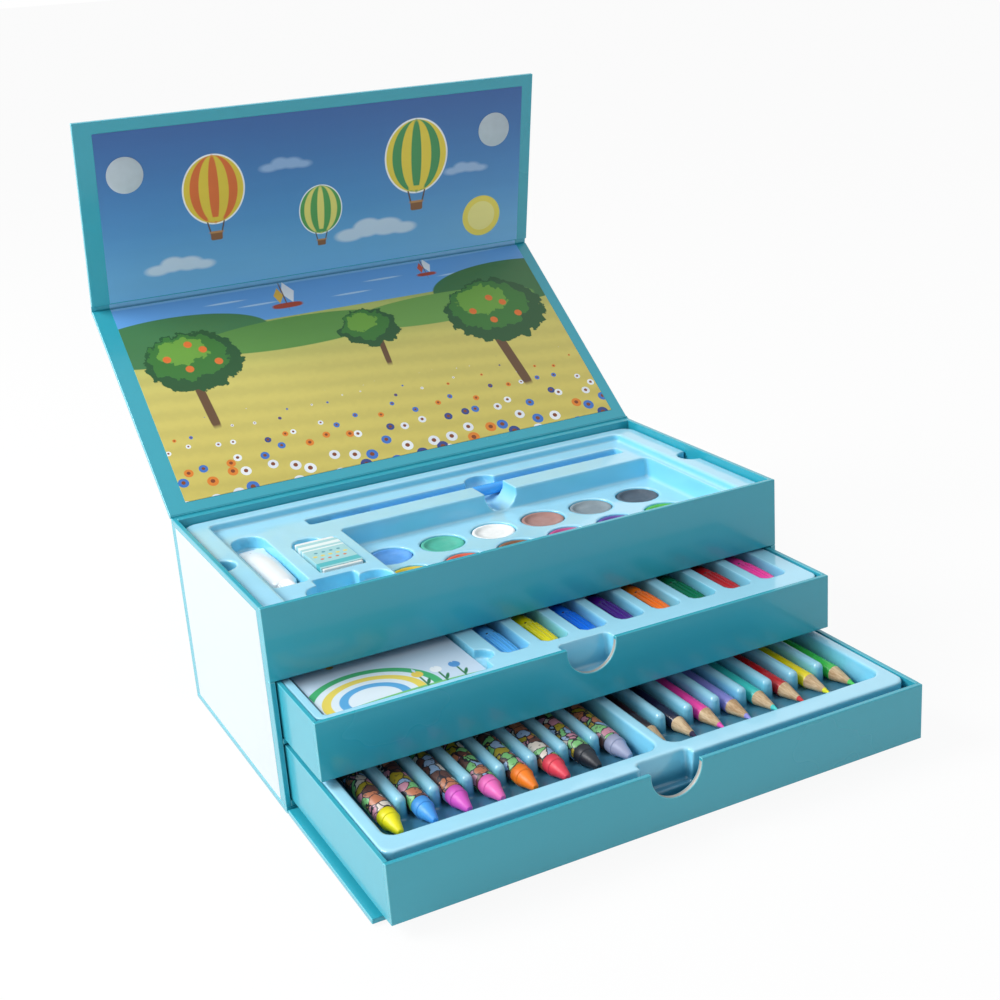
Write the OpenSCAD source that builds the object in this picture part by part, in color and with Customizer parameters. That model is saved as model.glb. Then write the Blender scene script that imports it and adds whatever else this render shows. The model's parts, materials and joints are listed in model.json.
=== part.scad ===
// Three-tier art box: a greyboard case wrapped in turquoise paper, with a hinged lid whose
// front flap closes over a base flap, a fixed top tray and two pull-out drawers. Each tier
// holds a thermoformed insert with wells that fit what lies in it.
// Origin: middle of the case's footprint, on the table. +X right, -Y front, +Z up.
// The model stands as displayed: lid open, flap leaning forward, both drawers pulled out.

/* [Case] */
// Outside width of the case, left to right
case_w = 270; // [250:1:330]
// Outside depth of the case without the spine board, front to back
case_d = 137.5; // [132:0.5:170]
// Height of the case from the table to its open rim
case_h = 100; // [94:0.5:125]
// Thickness of the wrapped greyboard of walls, shelves, drawer fronts and lid
board = 2.5; // [2:0.1:3]
// Thickness of the base board, and of the body's bottom panel on it
base_t = 3; // [2:0.1:4]
// Height of the fixed band across the front of the top tray
band_h = 35; // [32:0.5:44]
// Radius worked onto the long edges of a wrapped board
edge_r = 0.5; // [0.2:0.1:0.9]

/* [Lid and flaps] */
// Angle of the lid from shut
lid_open = 142.3; // [100:0.1:178]
// Angle between the lid and its flap as displayed, 0 when flat
flap_lean = 64.5; // [0:0.5:80]
// Width of the paper crease between the lid and its flap
crease_w = 4; // [3:0.5:7]
// Thickness of the paper in a crease
crease_t = 0.8; // [0.6:0.1:1]
// Thickness of the printed lining sheets
print_t = 0.2; // [0.1:0.05:0.3]
// Turquoise border left round the lining sheets
print_border = 8.5; // [5:0.5:12]
// How far the lining sheets sit to the right of the middle
print_shift = 1.5; // [-3:0.5:3]
// Diameter of the hook and loop dots
dot_d = 20; // [14:0.5:25]
// Thickness of a hook dot
hook_t = 0.8; // [0.6:0.1:1.2]
// Thickness of a loop dot
loop_t = 0.6; // [0.4:0.1:0.9]
// Distance of each dot's centre from the middle of the flap
dot_x = 110; // [80:1:112]
// Distance of the hook dots from the lid's fold
dot_drop = 72; // [40:1:85]

/* [Drawers] */
// How far the middle drawer stands out
middle_out = 46; // [0:0.5:100]
// How far the bottom drawer stands out
bottom_out = 112.5; // [0:0.5:118]
// Play between a drawer and each side wall
side_play = 0.75; // [0.4:0.05:1.5]
// Thickness of a drawer's side and back walls
wall_t = 2; // [1.5:0.1:2.5]
// Thickness of a drawer's floor
floor_t = 1.5; // [1:0.1:2]
// Radius of the finger notch in a drawer front
notch_r = 12.5; // [9:0.5:14]

/* [Inserts] */
// Wall of the thermoformed inserts
film = 0.6; // [0.4:0.05:1]
// Slope of a well's walls, in mm per mm of depth
draft = 0.08; // [0.03:0.01:0.12]
// Depth of the crayon and pencil pits
pit_depth = 12.5; // [11:0.5:15]
// Depth of the marker wells
marker_well_depth = 12.5; // [11:0.5:15]
// Depth of the paint well below the top deck
paint_depth = 11; // [8:0.5:14]
// Depth of the slot that holds the brush
slot_depth = 8.5; // [7.5:0.5:12]

/* [Crayons and pencils] */
// Number of crayons
crayon_count = 8; // [4:1:8]
// Distance between crayon centres
crayon_pitch = 15.5; // [14:0.1:15.8]
// Diameter of a crayon's paper sleeve
crayon_d = 9.4; // [8:0.1:10]
// Length of a crayon
crayon_l = 90; // [75:1:96]
// Number of pencils
pencil_count = 8; // [4:1:8]
// Distance between pencil centres
pencil_pitch = 14.7; // [13:0.1:15]
// Diameter of a pencil
pencil_d = 7.4; // [6.5:0.1:8]
// Length of a pencil
pencil_l = 90; // [80:1:96]
// Play between a crayon and the top of the ridge beside it
crayon_play = 0.45; // [0.3:0.05:1]
// Play between a pencil and the top of the ridge beside it
pencil_play = 1.05; // [0.3:0.05:1.3]

/* [Markers and cards] */
// Number of markers
marker_count = 8; // [4:1:8]
// Distance between marker centres
marker_pitch = 20.2; // [17:0.1:20.5]
// Diameter of a marker over the ribs of its cap
marker_d = 11; // [9:0.1:12]
// Length of a marker
marker_l = 108; // [90:1:110]
// Number of ribs round a cap
cap_ribs = 14; // [8:1:20]
// Width of the card pad
pad_w = 78; // [60:1:80]
// Length of the card pad
pad_l = 112; // [90:1:113]
// Thickness of the card pad
pad_t = 7; // [4:0.5:9]

/* [Top tray] */
// Cakes in each of the two rows
cakes_per_row = 6; // [3:1:6]
// Distance between cake centres along a row
cake_pitch = 28.6; // [25:0.1:29]
// Distance between the two rows
row_pitch = 28.5; // [25:0.1:30]
// Diameter of a paint cake
cake_d = 22; // [18:0.5:23]
// Thickness of a paint cake
cake_t = 2.8; // [2:0.1:4]
// Length of the brush
brush_l = 182; // [150:1:184]
// Largest diameter of the brush handle
brush_d = 6.6; // [5:0.1:7]
// Length of the glue tube
tube_l = 64; // [50:1:66]
// Width of the glue tube
tube_w = 15; // [12:0.5:15.5]
// Thickness of the glue tube
tube_t = 9; // [7:0.5:10]
// Length of the eraser
eraser_l = 40; // [30:1:42]
// Width of the eraser
eraser_w = 21; // [16:0.5:22]
// Thickness of the eraser
eraser_t = 8; // [6:0.5:10]

/* [Hidden] */
$fn = 64;
eps = 0.01;

// Play that keeps pieces of different bodies apart, and lift-out pieces off their walls
play = 0.3;
fit = 0.1;

// Case levels and faces
front_y = -case_d / 2;
back_y = case_d / 2;
inner_w = case_w - 2 * board;
inner_back_y = back_y - board;
band_z = case_h - band_h;
bay_z = 2 * base_t;
bay_h = (band_z - bay_z - board) / 2;
middle_bay_z = bay_z + bay_h + board;
shelf_top = band_z + board;

// Lid hinge: on the spine board's outer top edge
hinge_y = back_y + board;
hinge_z = case_h + 0.5;
lid_gap = 0.1;
bead = crease_t / 2;
bead_gap = bead + 0.15;
stack_t = 2 * play + board + loop_t + hook_t + print_t;
crease_z = lid_gap + board - bead;
flap_inside = board - bead;
fold_b_y = front_y - stack_t - flap_inside;
fold_a_y = fold_b_y + crease_w;
lid_l = hinge_y - fold_a_y - 2 * bead_gap;
flap_z = hinge_z + crease_z;
flap_l = flap_z - bead_gap - 0.6;

// Base flap: pivots on the crease in front of the base board
base_fold_z = base_t / 2;
base_flap_top = loop_t + board;
base_fold_y = front_y - play - (base_flap_top - base_fold_z);
base_flap_l = case_h - 1 - base_fold_z - bead_gap;
loop_y = flap_z - dot_drop - base_fold_z;

// Drawers
under_play = 0.3;
over_play = 0.6;
back_play = 0.5;
drawer_w = inner_w - 2 * side_play;
drawer_h = bay_h - under_play - over_play;
drawer_l = case_d - board - back_play;
notch_drop = 1.5;
drawer_inner_w = drawer_w - 2 * wall_t;

// Drawer inserts: width, rim height over the drawer floor and room in front
insert_play = 0.5;
insert_w = drawer_inner_w - 2 * insert_play;
middle_rim_drop = 0.7;
bottom_rim_drop = 0.1;
middle_insert_h = drawer_h - floor_t - middle_rim_drop;
bottom_insert_h = drawer_h - floor_t - bottom_rim_drop;
middle_front_gap = 0.4;
bottom_front_gap = 4.8;
insert_end = drawer_l - wall_t - play;
insert_corner = 6;
insert_left = -insert_w / 2;

// Crayon and pencil pits, measured from the drawer's front face
pit_front = 18.5;
pit_back = 122;
crayon_x0 = insert_left + 16.4;
crayon_last_x = crayon_x0 + (crayon_count - 1) * crayon_pitch;
crayon_pit_left = insert_left + 6;
crayon_pit_right = crayon_last_x + crayon_pitch / 2;
middle_wall = 5.5;
pencil_pit_left = crayon_pit_right + middle_wall;
pencil_x0 = pencil_pit_left + pencil_pitch / 2 - 1;
pencil_last_x = pencil_x0 + (pencil_count - 1) * pencil_pitch;
pencil_pit_right = pencil_last_x + 5.6;
pit_corner = 6;
ridge_front = pit_front + 30;
ridge_drop = 2.2;
ridge_lean = 0.5;
crayon_ridge_r = (crayon_pitch - crayon_d) / 2 - crayon_play;
pencil_ridge_r = (pencil_pitch - pencil_d) / 2 - pencil_play;
tip_play = 2;

// Marker wells and card pocket, measured from the drawer's front face
marker_well_w = marker_d + 3.2;
marker_well_front = 15.5;
marker_well_l = marker_l + 3;
pocket_left = insert_left + 4.2;
pocket_w = pad_w + 1.5;
pocket_front = 6.5;
pocket_l = pad_l + 2;
pocket_depth = pad_t + 2.5;
marker_strip = 9.4;
marker_end_play = 1.4;
card_scoop_d = 12;
card_scoop_y = pocket_front + 14;
recess_depth = 14;
marker_x0 = pocket_left + pocket_w + marker_strip + marker_well_w / 2;

// Top insert
top_w = inner_w - 1.4;
top_l = inner_back_y - front_y - board - 1;
top_h = band_h - board - 3.5;
deck_drop = 4;
side_border = 12;
back_border = 8;
top_left = -top_w / 2;
top_y = (inner_back_y + front_y + board) / 2;
deck_z = shelf_top + top_h - deck_drop;
paint_left = top_left + 68.5;
paint_w = cakes_per_row * cake_pitch + 8.4;
paint_back = top_y + 22;
paint_l = 2 * row_pitch + 23;
paint_floor_z = deck_z - paint_depth;
cake_x0 = paint_left + 2 + cake_pitch / 2;
cake_row_y = paint_back - 22.5;
cake_well_depth = cake_t + 0.8;
cake_colours = ["#5a9fe6", "#4fb59b", "#f4f4f2", "#a98580", "#8b9aa0", "#505f6c",
                "#e8c93a", "#e2593c", "#8b5a3c", "#c64f8e", "#6a4fa8", "#55c34b"];
slot_y = top_y + 42;
slot_w = brush_d + 2.6;
slot_left = top_left + 58.5;
slot_l = brush_l + 3;
slot_floor_z = deck_z - slot_depth;
brush_z = slot_floor_z + brush_d / 2 + fit;
scoop_x = slot_left + slot_l * 0.54;
scoop_r = 9;
bristle_l = 13;
ferrule_l = 22;
ferrule_r = 2.4;
ferrule_wall = 0.3;
tube_well_x = top_left + 23.8;
tube_well_y = top_y + 1;
tube_floor_z = deck_z - tube_t - 0.8;
eraser_x = top_left + 51;
eraser_y = top_y - 7;
eraser_floor_z = deck_z - eraser_t + 1.2;
lift_notch_d = 15;
lift_notch_depth = 9;
finger_d = 15;
tube_finger_depth = 7;
eraser_finger_depth = 5;

// Empty pocket: centre, width, length and depth, with a finger scoop on either side
pocket_x = eraser_x - 8;
pocket_y = eraser_y - eraser_l / 2 - 19;
tool_pocket = [21, 26, 10];
left_scoop_depth = 7;
right_scoop_d = 16;
right_scoop_depth = 5;

// Colours of what lies in the drawers, left to right
crayon_colours = ["#faf000", "#46a0f0", "#e15ac8", "#f56ebe", "#ff8214", "#eb415a",
                  "#19232d", "#a0a5c3"];
pencil_colours = ["#2d1419", "#1e1432", "#fa46aa", "#8c87d2", "#41cdc3", "#c81419",
                  "#fae100", "#3cc346"];
marker_colours = ["#5aaff0", "#e1d700", "#146ee1", "#4b1482", "#fa7814", "#0a6e46",
                  "#be191e", "#f546a5"];
paper = "#64c8d4";
plastic = "#a8dcf4";

// ---- Shared shapes ----

// Rounded rectangle about the origin, with true arcs
module rounded_rect(w, l, r) {
    square([w - 2 * r, l], center = true);
    square([w, l - 2 * r], center = true);
    for (sx = [-1, 1], sy = [-1, 1])
        translate([sx * (w / 2 - r), sy * (l / 2 - r)]) circle(r);
}

// Board lying flat, its lower front left corner at the origin, with soft front and back edges
module flat_board(w, l, t) {
    translate([0, l / 2, t / 2]) rotate([90, 0, 90]) linear_extrude(w) rounded_rect(l, t, edge_r);
}

// Board standing in the XZ plane, its lower front left corner at the origin
module upright_board(w, t, h) {
    translate([0, t / 2, h / 2]) rotate([90, 0, 90]) linear_extrude(w) rounded_rect(t, h, edge_r);
}

// Board standing in the YZ plane, its lower front left corner at the origin
module side_board(t, l, h) {
    translate([t / 2, l, h / 2]) rotate([90, 0, 0]) linear_extrude(l) rounded_rect(t, h, edge_r);
}

// Paper crease: a strip across the whole width from y = 0 to y = -l, round at its far edge
module crease_strip(w, l) {
    rotate([90, 0, 90]) linear_extrude(w, center = true) {
        translate([-l, -bead]) square([l, crease_t]);
        translate([-l, 0]) circle(bead);
    }
}

// Well with sloping walls and round corners, its mouth centred on the origin. Inside a
// formed insert $skin grows it by the film, which leaves its walls and floor standing.
module well(w, l, depth, corner) {
    grown_w = w + 2 * $skin;
    grown_l = l + 2 * $skin;
    floor_z = -depth - $skin;
    lean = draft * depth;
    intersection() {
        translate([0, grown_l / 2 + 1, 0]) rotate([90, 0, 0]) linear_extrude(grown_l + 2)
            well_profile(grown_w, floor_z, lean);
        translate([-grown_w / 2 - 1, 0, 0]) rotate([90, 0, 90]) linear_extrude(grown_w + 2)
            well_profile(grown_l, floor_z, lean);
        translate([0, 0, floor_z - 1]) linear_extrude(-floor_z + 2)
            rounded_rect(grown_w, grown_l, corner + $skin);
    }
}

// Section of a well: wide at its mouth and narrower at its floor, open above
module well_profile(w, floor_z, lean) {
    polygon([[-w / 2, 1], [-w / 2, 0], [-w / 2 + lean, floor_z],
             [w / 2 - lean, floor_z], [w / 2, 0], [w / 2, 1]]);
}

// Round well with its mouth on the XY plane
module round_well(d, depth) {
    translate([0, 0, -depth - $skin]) cylinder(d = d + 2 * $skin, h = depth + $skin + 1);
}

// Runs its children with the wells grown by s
module with_skin(s) {
    $skin = s;
    children();
}

// Thermoformed insert: a hollow block of film with its rim at z = 0. The children are its
// wells, which are cut once from the block and left standing, a film thicker, inside it.
module formed_insert(w, l, h, corner) {
    difference() {
        translate([0, 0, -h]) linear_extrude(h) rounded_rect(w, l, corner);
        with_skin(0) children();
        difference() {
            translate([0, 0, -h - 1]) linear_extrude(h + 1 - film)
                rounded_rect(w - 2 * film, l - 2 * film, corner - film);
            with_skin(film) children();
        }
    }
}

// ---- Case body ----

module base_board() {
    color(paper) translate([-case_w / 2, front_y, 0]) flat_board(case_w, case_d, base_t);
}

module back_board() {
    color(paper) translate([-case_w / 2, back_y, 0]) upright_board(case_w, board, case_h);
}

module body_back_panel() {
    color(paper) translate([-inner_w / 2, inner_back_y, base_t])
        upright_board(inner_w, board, case_h - base_t);
}

// Side wall, cut back at the top front so that the band runs the full width
module side_panel() {
    difference() {
        translate([0, front_y, base_t]) side_board(board, case_d, case_h - base_t);
        translate([-1, front_y - 1, band_z]) cube([board + 2, board + 1, band_h + 1]);
    }
}

module left_side_panel() {
    color(paper) translate([-case_w / 2, 0, 0]) side_panel();
}

module right_side_panel() {
    color(paper) translate([inner_w / 2, 0, 0]) side_panel();
}

module bottom_panel() {
    color(paper) translate([-inner_w / 2, front_y, base_t])
        flat_board(inner_w, case_d - board, base_t);
}

module drawer_divider() {
    color(paper) translate([-inner_w / 2, front_y, bay_z + bay_h])
        flat_board(inner_w, case_d - board, board);
}

module upper_shelf() {
    color(paper) translate([-inner_w / 2, front_y + board, band_z])
        flat_board(inner_w, case_d - 2 * board, board);
}

module front_band() {
    color(paper) translate([-case_w / 2, front_y, band_z]) upright_board(case_w, board, band_h);
}

// Paper that carries the base flap, from the base board's edge to the fold
module base_flap_crease() {
    color(paper) translate([0, front_y, base_fold_z])
        crease_strip(case_w, front_y - base_fold_y);
}

// Paper crease on the hinge line, with its tail on the spine board's top edge
module lid_crease() {
    tail_t = bead / 2;
    tail_l = board / 2;
    color(paper) rotate([90, 0, 90]) linear_extrude(case_w, center = true) {
        translate([hinge_y, hinge_z]) circle(bead);
        translate([hinge_y - tail_l, case_h]) square([tail_l, tail_t]);
    }
}

// ---- Lid, its flap and the base flap ----

// Places what is drawn shut, measured from the hinge line, at the displayed angle
module at_lid() {
    translate([0, hinge_y, hinge_z]) rotate([-lid_open, 0, 0]) children();
}

// Places what is drawn flat with the lid, measured from the fold's first line
module at_crease() {
    at_lid() translate([0, fold_a_y - hinge_y, crease_z]) rotate([flap_lean, 0, 0]) children();
}

// Measured from the fold's second line, which carries the flap
module at_flap() {
    at_crease() translate([0, -crease_w, 0]) children();
}

module lid_board() {
    color(paper) at_lid() translate([-case_w / 2, -bead_gap - lid_l, lid_gap])
        flat_board(case_w, lid_l, board);
}

// Printed sheet from near_y to far_y, measured towards the free edge
module lining_sheet(near_y, far_y) {
    w = case_w - 2 * print_border;
    translate([print_shift - w / 2, -far_y, -print_t]) cube([w, far_y - near_y, print_t]);
}

// Printed sheet on the lid's inner face
module lid_lining() {
    color("#8fc6ea") at_lid() translate([0, 0, lid_gap])
        lining_sheet(print_border - 1.5, bead_gap + lid_l - 1.5);
}

// Strip of paper between the fold's two lines, round on both
module lid_flap_crease() {
    color(paper) at_crease() {
        crease_strip(case_w, crease_w);
        translate([-case_w / 2, 0, 0]) rotate([0, 90, 0]) cylinder(r = bead, h = case_w);
    }
}

module lid_flap_board() {
    color(paper) at_flap() translate([-case_w / 2, -bead_gap - flap_l, -flap_inside])
        flat_board(case_w, flap_l, board);
}

// Printed sheet on the flap's inner face
module lid_flap_lining() {
    color("#4a8fcf") at_flap() translate([0, 0, -flap_inside])
        lining_sheet(bead_gap + 1.5, bead_gap + flap_l - print_border + 2);
}

module hook_dots() {
    color("#d2dfe4") at_flap() for (sx = [-1, 1])
        translate([sx * dot_x, -dot_drop, -flap_inside - print_t - hook_t])
            cylinder(d = dot_d, h = hook_t);
}

module base_flap_board() {
    color(paper) translate([-case_w / 2, base_fold_y - bead_gap - base_flap_l, loop_t])
        flat_board(case_w, base_flap_l, board);
}

// Loop dots under the lowered flap, where the hook dots meet them when the box is shut
module loop_dots() {
    color("#e6edf0") for (sx = [-1, 1])
        translate([sx * dot_x, base_fold_y - loop_y, 0]) cylinder(d = dot_d, h = loop_t);
}

// ---- Drawers ----

// Places what is measured from a drawer's lower front edge
module at_middle_drawer() {
    translate([0, front_y - middle_out, middle_bay_z + under_play]) children();
}

module at_bottom_drawer() {
    translate([0, front_y - bottom_out, bay_z + under_play]) children();
}

// Front board with a half-round finger notch in its top edge
module drawer_front() {
    difference() {
        translate([-drawer_w / 2, 0, 0]) upright_board(drawer_w, board, drawer_h);
        translate([0, -1, drawer_h - notch_drop]) rotate([-90, 0, 0])
            cylinder(r = notch_r, h = board + 2);
        translate([-notch_r, -1, drawer_h - notch_drop])
            cube([2 * notch_r, board + 2, notch_drop + 1]);
    }
}

// One board folded round the sides and the back
module drawer_walls() {
    wall_l = drawer_l - board;
    translate([0, board, 0]) difference() {
        translate([-drawer_w / 2, 0, 0]) cube([drawer_w, wall_l, drawer_h]);
        translate([-drawer_inner_w / 2, -1, -1])
            cube([drawer_inner_w, wall_l - wall_t + 1, drawer_h + 2]);
    }
}

module drawer_floor() {
    translate([-drawer_inner_w / 2, board, 0])
        cube([drawer_inner_w, drawer_l - board - wall_t, floor_t]);
}

// Insert on a drawer's floor. Its wells are drawn from the rim, in the drawer's own X and Y.
module drawer_insert(front_gap, h) {
    insert_front = board + front_gap;
    insert_l = insert_end - insert_front;
    mid_y = insert_front + insert_l / 2;
    translate([0, mid_y, floor_t + h]) formed_insert(insert_w, insert_l, h, insert_corner)
        translate([0, -mid_y, 0]) children();
}

// Hollow behind a finger notch, open to the insert's front
module notch_recess(front_gap, depth_y) {
    front = board + front_gap;
    translate([0, front + depth_y / 2 - 5, 0]) well(2 * notch_r + 1, depth_y + 10, recess_depth, 3);
}

module middle_drawer_front() {
    color(paper) at_middle_drawer() drawer_front();
}

module middle_drawer_walls() {
    color(paper) at_middle_drawer() drawer_walls();
}

module middle_drawer_floor() {
    color(paper) at_middle_drawer() drawer_floor();
}

module bottom_drawer_front() {
    color(paper) at_bottom_drawer() drawer_front();
}

module bottom_drawer_walls() {
    color(paper) at_bottom_drawer() drawer_walls();
}

module bottom_drawer_floor() {
    color(paper) at_bottom_drawer() drawer_floor();
}

// ---- Middle tier: card pad and markers ----

module middle_insert() {
    color(plastic) at_middle_drawer() drawer_insert(middle_front_gap, middle_insert_h) {
        translate([pocket_left + pocket_w / 2, pocket_front + pocket_l / 2, 0])
            well(pocket_w, pocket_l, pocket_depth, 2.5);
        translate([pocket_left + pocket_w, card_scoop_y, 0])
            round_well(card_scoop_d, pocket_depth / 2);
        for (i = [0:marker_count - 1])
            translate([marker_x0 + i * marker_pitch, marker_well_front + marker_well_l / 2, 0])
                well(marker_well_w, marker_well_l, marker_well_depth, 4.5);
        notch_recess(middle_front_gap, 6);
    }
}

// Pad of cards under a printed cover
module card_pad() {
    pad_x = pocket_left + pocket_w / 2;
    pad_z = floor_t + middle_insert_h - pocket_depth + fit;
    cover_t = 0.6;
    color("#bcd6ee") at_middle_drawer() translate([pad_x, pocket_front + pocket_l / 2, pad_z]) {
        linear_extrude(pad_t - cover_t) rounded_rect(pad_w - 3, pad_l - 3, 1);
        translate([0, 0, pad_t - cover_t]) linear_extrude(cover_t)
            rounded_rect(pad_w - 2.4, pad_l - 2.4, 1.5);
    }
}

// Marker along +Y from its cap's domed end: cap with ribs, barrel and nib
module marker(i) {
    cap_l = 38;
    rib_l = 25;
    core_r = marker_d / 2 - 0.6;
    barrel_r = marker_d / 2 - 0.4;
    neck_r = barrel_r - 1.1;
    neck_l = 13;
    nib_r = 1.5;
    well_x = marker_x0 + (i - 1) * marker_pitch;
    axis_z = floor_t + middle_insert_h - marker_well_depth + marker_d / 2 + fit;
    color(marker_colours[(i - 1) % len(marker_colours)]) at_middle_drawer()
        translate([well_x, marker_well_front + marker_end_play, axis_z]) rotate([-90, 0, 0]) {
            marker_cap(cap_l, rib_l, core_r, neck_r + 0.15);
            marker_barrel(cap_l, barrel_r, neck_r, neck_l, nib_r);
            translate([0, 0, cap_l - neck_l - 7]) cylinder(r = nib_r, h = 10);
        }
}

// Cap: ribs over the domed front, a plain collar behind and two small vents
module marker_cap(cap_l, rib_l, core_r, bore_r) {
    outer_r = marker_d / 2;
    vent_z = rib_l + 1.5;
    difference() {
        union() {
            intersection() {
                linear_extrude(rib_l) {
                    circle(core_r);
                    for (k = [0:cap_ribs - 1]) rotate(k * 360 / cap_ribs)
                        translate([core_r - 0.4, -0.7]) square([1, 1.4]);
                }
                rotate_extrude() dome_profile(outer_r, rib_l);
            }
            translate([0, 0, rib_l - eps]) cylinder(r = core_r + 0.2, h = cap_l - rib_l);
        }
        translate([0, 0, 12]) cylinder(r = bore_r, h = cap_l);
        for (sx = [-1, 1]) translate([sx * 1.8, -outer_r, vent_z])
            rotate([-90, 0, 0]) cylinder(r = 0.6, h = outer_r);
    }
}

// Half section of a cap's end, domed towards z = 0
module dome_profile(r, l) {
    dome = 3.5;
    translate([0, dome]) square([r, l - dome]);
    square([r - dome, l]);
    intersection() {
        translate([r - dome, dome]) circle(dome);
        square([r, l]);
    }
}

// Barrel with a neck that plugs into the cap, bored for the nib, and a round end plug
module marker_barrel(cap_l, barrel_r, neck_r, neck_l, nib_r) {
    plug_l = 5;
    difference() {
        union() {
            translate([0, 0, cap_l - neck_l]) cylinder(r = neck_r, h = neck_l + 1);
            translate([0, 0, cap_l + 0.2]) cylinder(r = barrel_r, h = marker_l - cap_l - plug_l);
            translate([0, 0, marker_l - plug_l]) cylinder(r1 = barrel_r - 0.4,
                r2 = barrel_r - 1.4, h = plug_l);
        }
        translate([0, 0, cap_l - neck_l - 1]) cylinder(r = nib_r + 0.05, h = 4.2);
    }
}

// ---- Bottom tier: crayons and pencils ----

// Ridge between two channels: sloping sides, a round top of radius r and a round front end
module ridge(r) {
    crown = r - $skin;
    foot = crown + ridge_lean;
    top_z = -ridge_drop - $skin;
    low_z = -pit_depth - $skin - 1;
    ridge_l = pit_back - ridge_front + 2;
    translate([0, ridge_front, 0]) {
        translate([0, ridge_l, 0]) rotate([90, 0, 0]) linear_extrude(ridge_l)
            for (side = [0, 1]) mirror([side, 0]) ridge_half(foot, crown, top_z, low_z);
        rotate_extrude() ridge_half(foot, crown, top_z, low_z);
    }
}

// Right half of a ridge's section, from its foot to its round crown
module ridge_half(foot, crown, top_z, low_z) {
    shoulder_z = top_z - crown;
    polygon([[0, low_z], [foot, low_z], [crown, shoulder_z], [0, shoulder_z]]);
    translate([0, shoulder_z]) intersection() {
        circle(crown);
        square(crown);
    }
}

// Pit from x0 to x1 with ridges half way between the pieces that start at first_x
module ridged_pit(x0, x1, first_x, pitch, count, ridge_r) {
    difference() {
        translate([(x0 + x1) / 2, (pit_front + pit_back) / 2, 0])
            well(x1 - x0, pit_back - pit_front, pit_depth, pit_corner);
        for (i = [0:count - 2]) translate([first_x + (i + 0.5) * pitch, 0, 0]) ridge(ridge_r);
    }
}

module bottom_insert() {
    color(plastic) at_bottom_drawer() drawer_insert(bottom_front_gap, bottom_insert_h) {
        ridged_pit(crayon_pit_left, crayon_pit_right, crayon_x0, crayon_pitch, crayon_count,
                   crayon_ridge_r);
        ridged_pit(pencil_pit_left, pencil_pit_right, pencil_x0, pencil_pitch, pencil_count,
                   pencil_ridge_r);
        notch_recess(bottom_front_gap, 5);
    }
}

// Crayon along +Y from its tip: a wax stick in a paper sleeve
module crayon(i) {
    wax_r = crayon_d / 2 - 0.35;
    cone_l = 10;
    bare_l = 5;
    nub_r = 1.5;
    axis_z = floor_t + bottom_insert_h - pit_depth + crayon_d / 2 + fit;
    tip_y = pit_back - tip_play - crayon_l;
    color(crayon_colours[(i - 1) % len(crayon_colours)]) at_bottom_drawer()
        translate([crayon_x0 + (i - 1) * crayon_pitch, tip_y, axis_z]) rotate([-90, 0, 0]) {
            cylinder(r1 = nub_r, r2 = wax_r - 0.5, h = cone_l);
            translate([0, 0, cone_l - eps]) cylinder(r = wax_r, h = crayon_l - cone_l);
            translate([0, 0, cone_l + bare_l]) difference() {
                cylinder(r = crayon_d / 2, h = crayon_l - cone_l - bare_l - 2);
                translate([0, 0, -1]) cylinder(r = wax_r + 0.05, h = crayon_l);
            }
        }
}

// Pencil along +Y from its point: a wooden casing, sharpened, round a coloured lead
module pencil(i) {
    lead_r = 1.2;
    point_l = 4;
    cone_l = 15;
    axis_z = floor_t + bottom_insert_h - pit_depth + pencil_d / 2 + fit;
    tip_y = pit_back - tip_play - pencil_l;
    color(pencil_colours[(i - 1) % len(pencil_colours)]) at_bottom_drawer()
        translate([pencil_x0 + (i - 1) * pencil_pitch, tip_y, axis_z]) rotate([-90, 0, 0]) {
            cylinder(r1 = 0.35, r2 = lead_r, h = point_l);
            translate([0, 0, point_l - eps]) cylinder(r = lead_r, h = pencil_l - point_l);
            difference() {
                union() {
                    translate([0, 0, point_l]) cylinder(r1 = lead_r + 0.25,
                        r2 = pencil_d / 2, h = cone_l - point_l);
                    translate([0, 0, cone_l - eps]) cylinder(d = pencil_d, h = pencil_l - cone_l);
                }
                cylinder(r = lead_r + 0.05, h = pencil_l + 1);
            }
        }
}

// ---- Top tray ----

// Insert of the top tray: raised border, sunken deck, paint well, brush slot and pockets
module top_insert() {
    rim_z = shelf_top + top_h;
    color(plastic) translate([0, top_y, rim_z]) formed_insert(top_w, top_l, top_h, 8) {
        top_deck();
        translate([0, -top_y, -deck_drop]) {
            translate([paint_left + paint_w / 2, paint_back - paint_l / 2, 0])
                well(paint_w, paint_l, paint_depth, 3);
            cake_wells();
            translate([slot_left + slot_l / 2, slot_y, 0]) well(slot_l, slot_w, slot_depth, 2);
            brush_scoop();
            small_pockets();
        }
        for (sx = [-1, 1]) translate([sx * top_w / 2, 0, 0])
            round_well(lift_notch_d, lift_notch_depth);
    }
}

// Sunken deck, open to the front, with the border standing on its other three sides
module top_deck() {
    deck_w = top_w - 2 * side_border;
    deck_l = top_l - back_border + 10;
    translate([0, top_l / 2 - back_border - deck_l / 2, 0]) well(deck_w, deck_l, deck_drop, 4);
}

module cake_wells() {
    for (row = [0, 1], i = [0:cakes_per_row - 1])
        translate([cake_x0 + i * cake_pitch, cake_row_y - row * row_pitch, -paint_depth])
            round_well(cake_d + 1, cake_well_depth);
}

// Half-round finger scoop across the brush slot, through to the paint well
module brush_scoop() {
    scoop_back = slot_y + 2;
    scoop_l = scoop_back - paint_back + 1;
    radius = scoop_r + $skin;
    translate([scoop_x, scoop_back, -1.5]) {
        rotate([90, 0, 0]) cylinder(r = radius, h = scoop_l);
        sphere(radius);
        translate([-radius, -scoop_l, 0]) cube([2 * radius, scoop_l, 3]);
        cylinder(r = radius, h = 3);
    }
}

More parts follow.
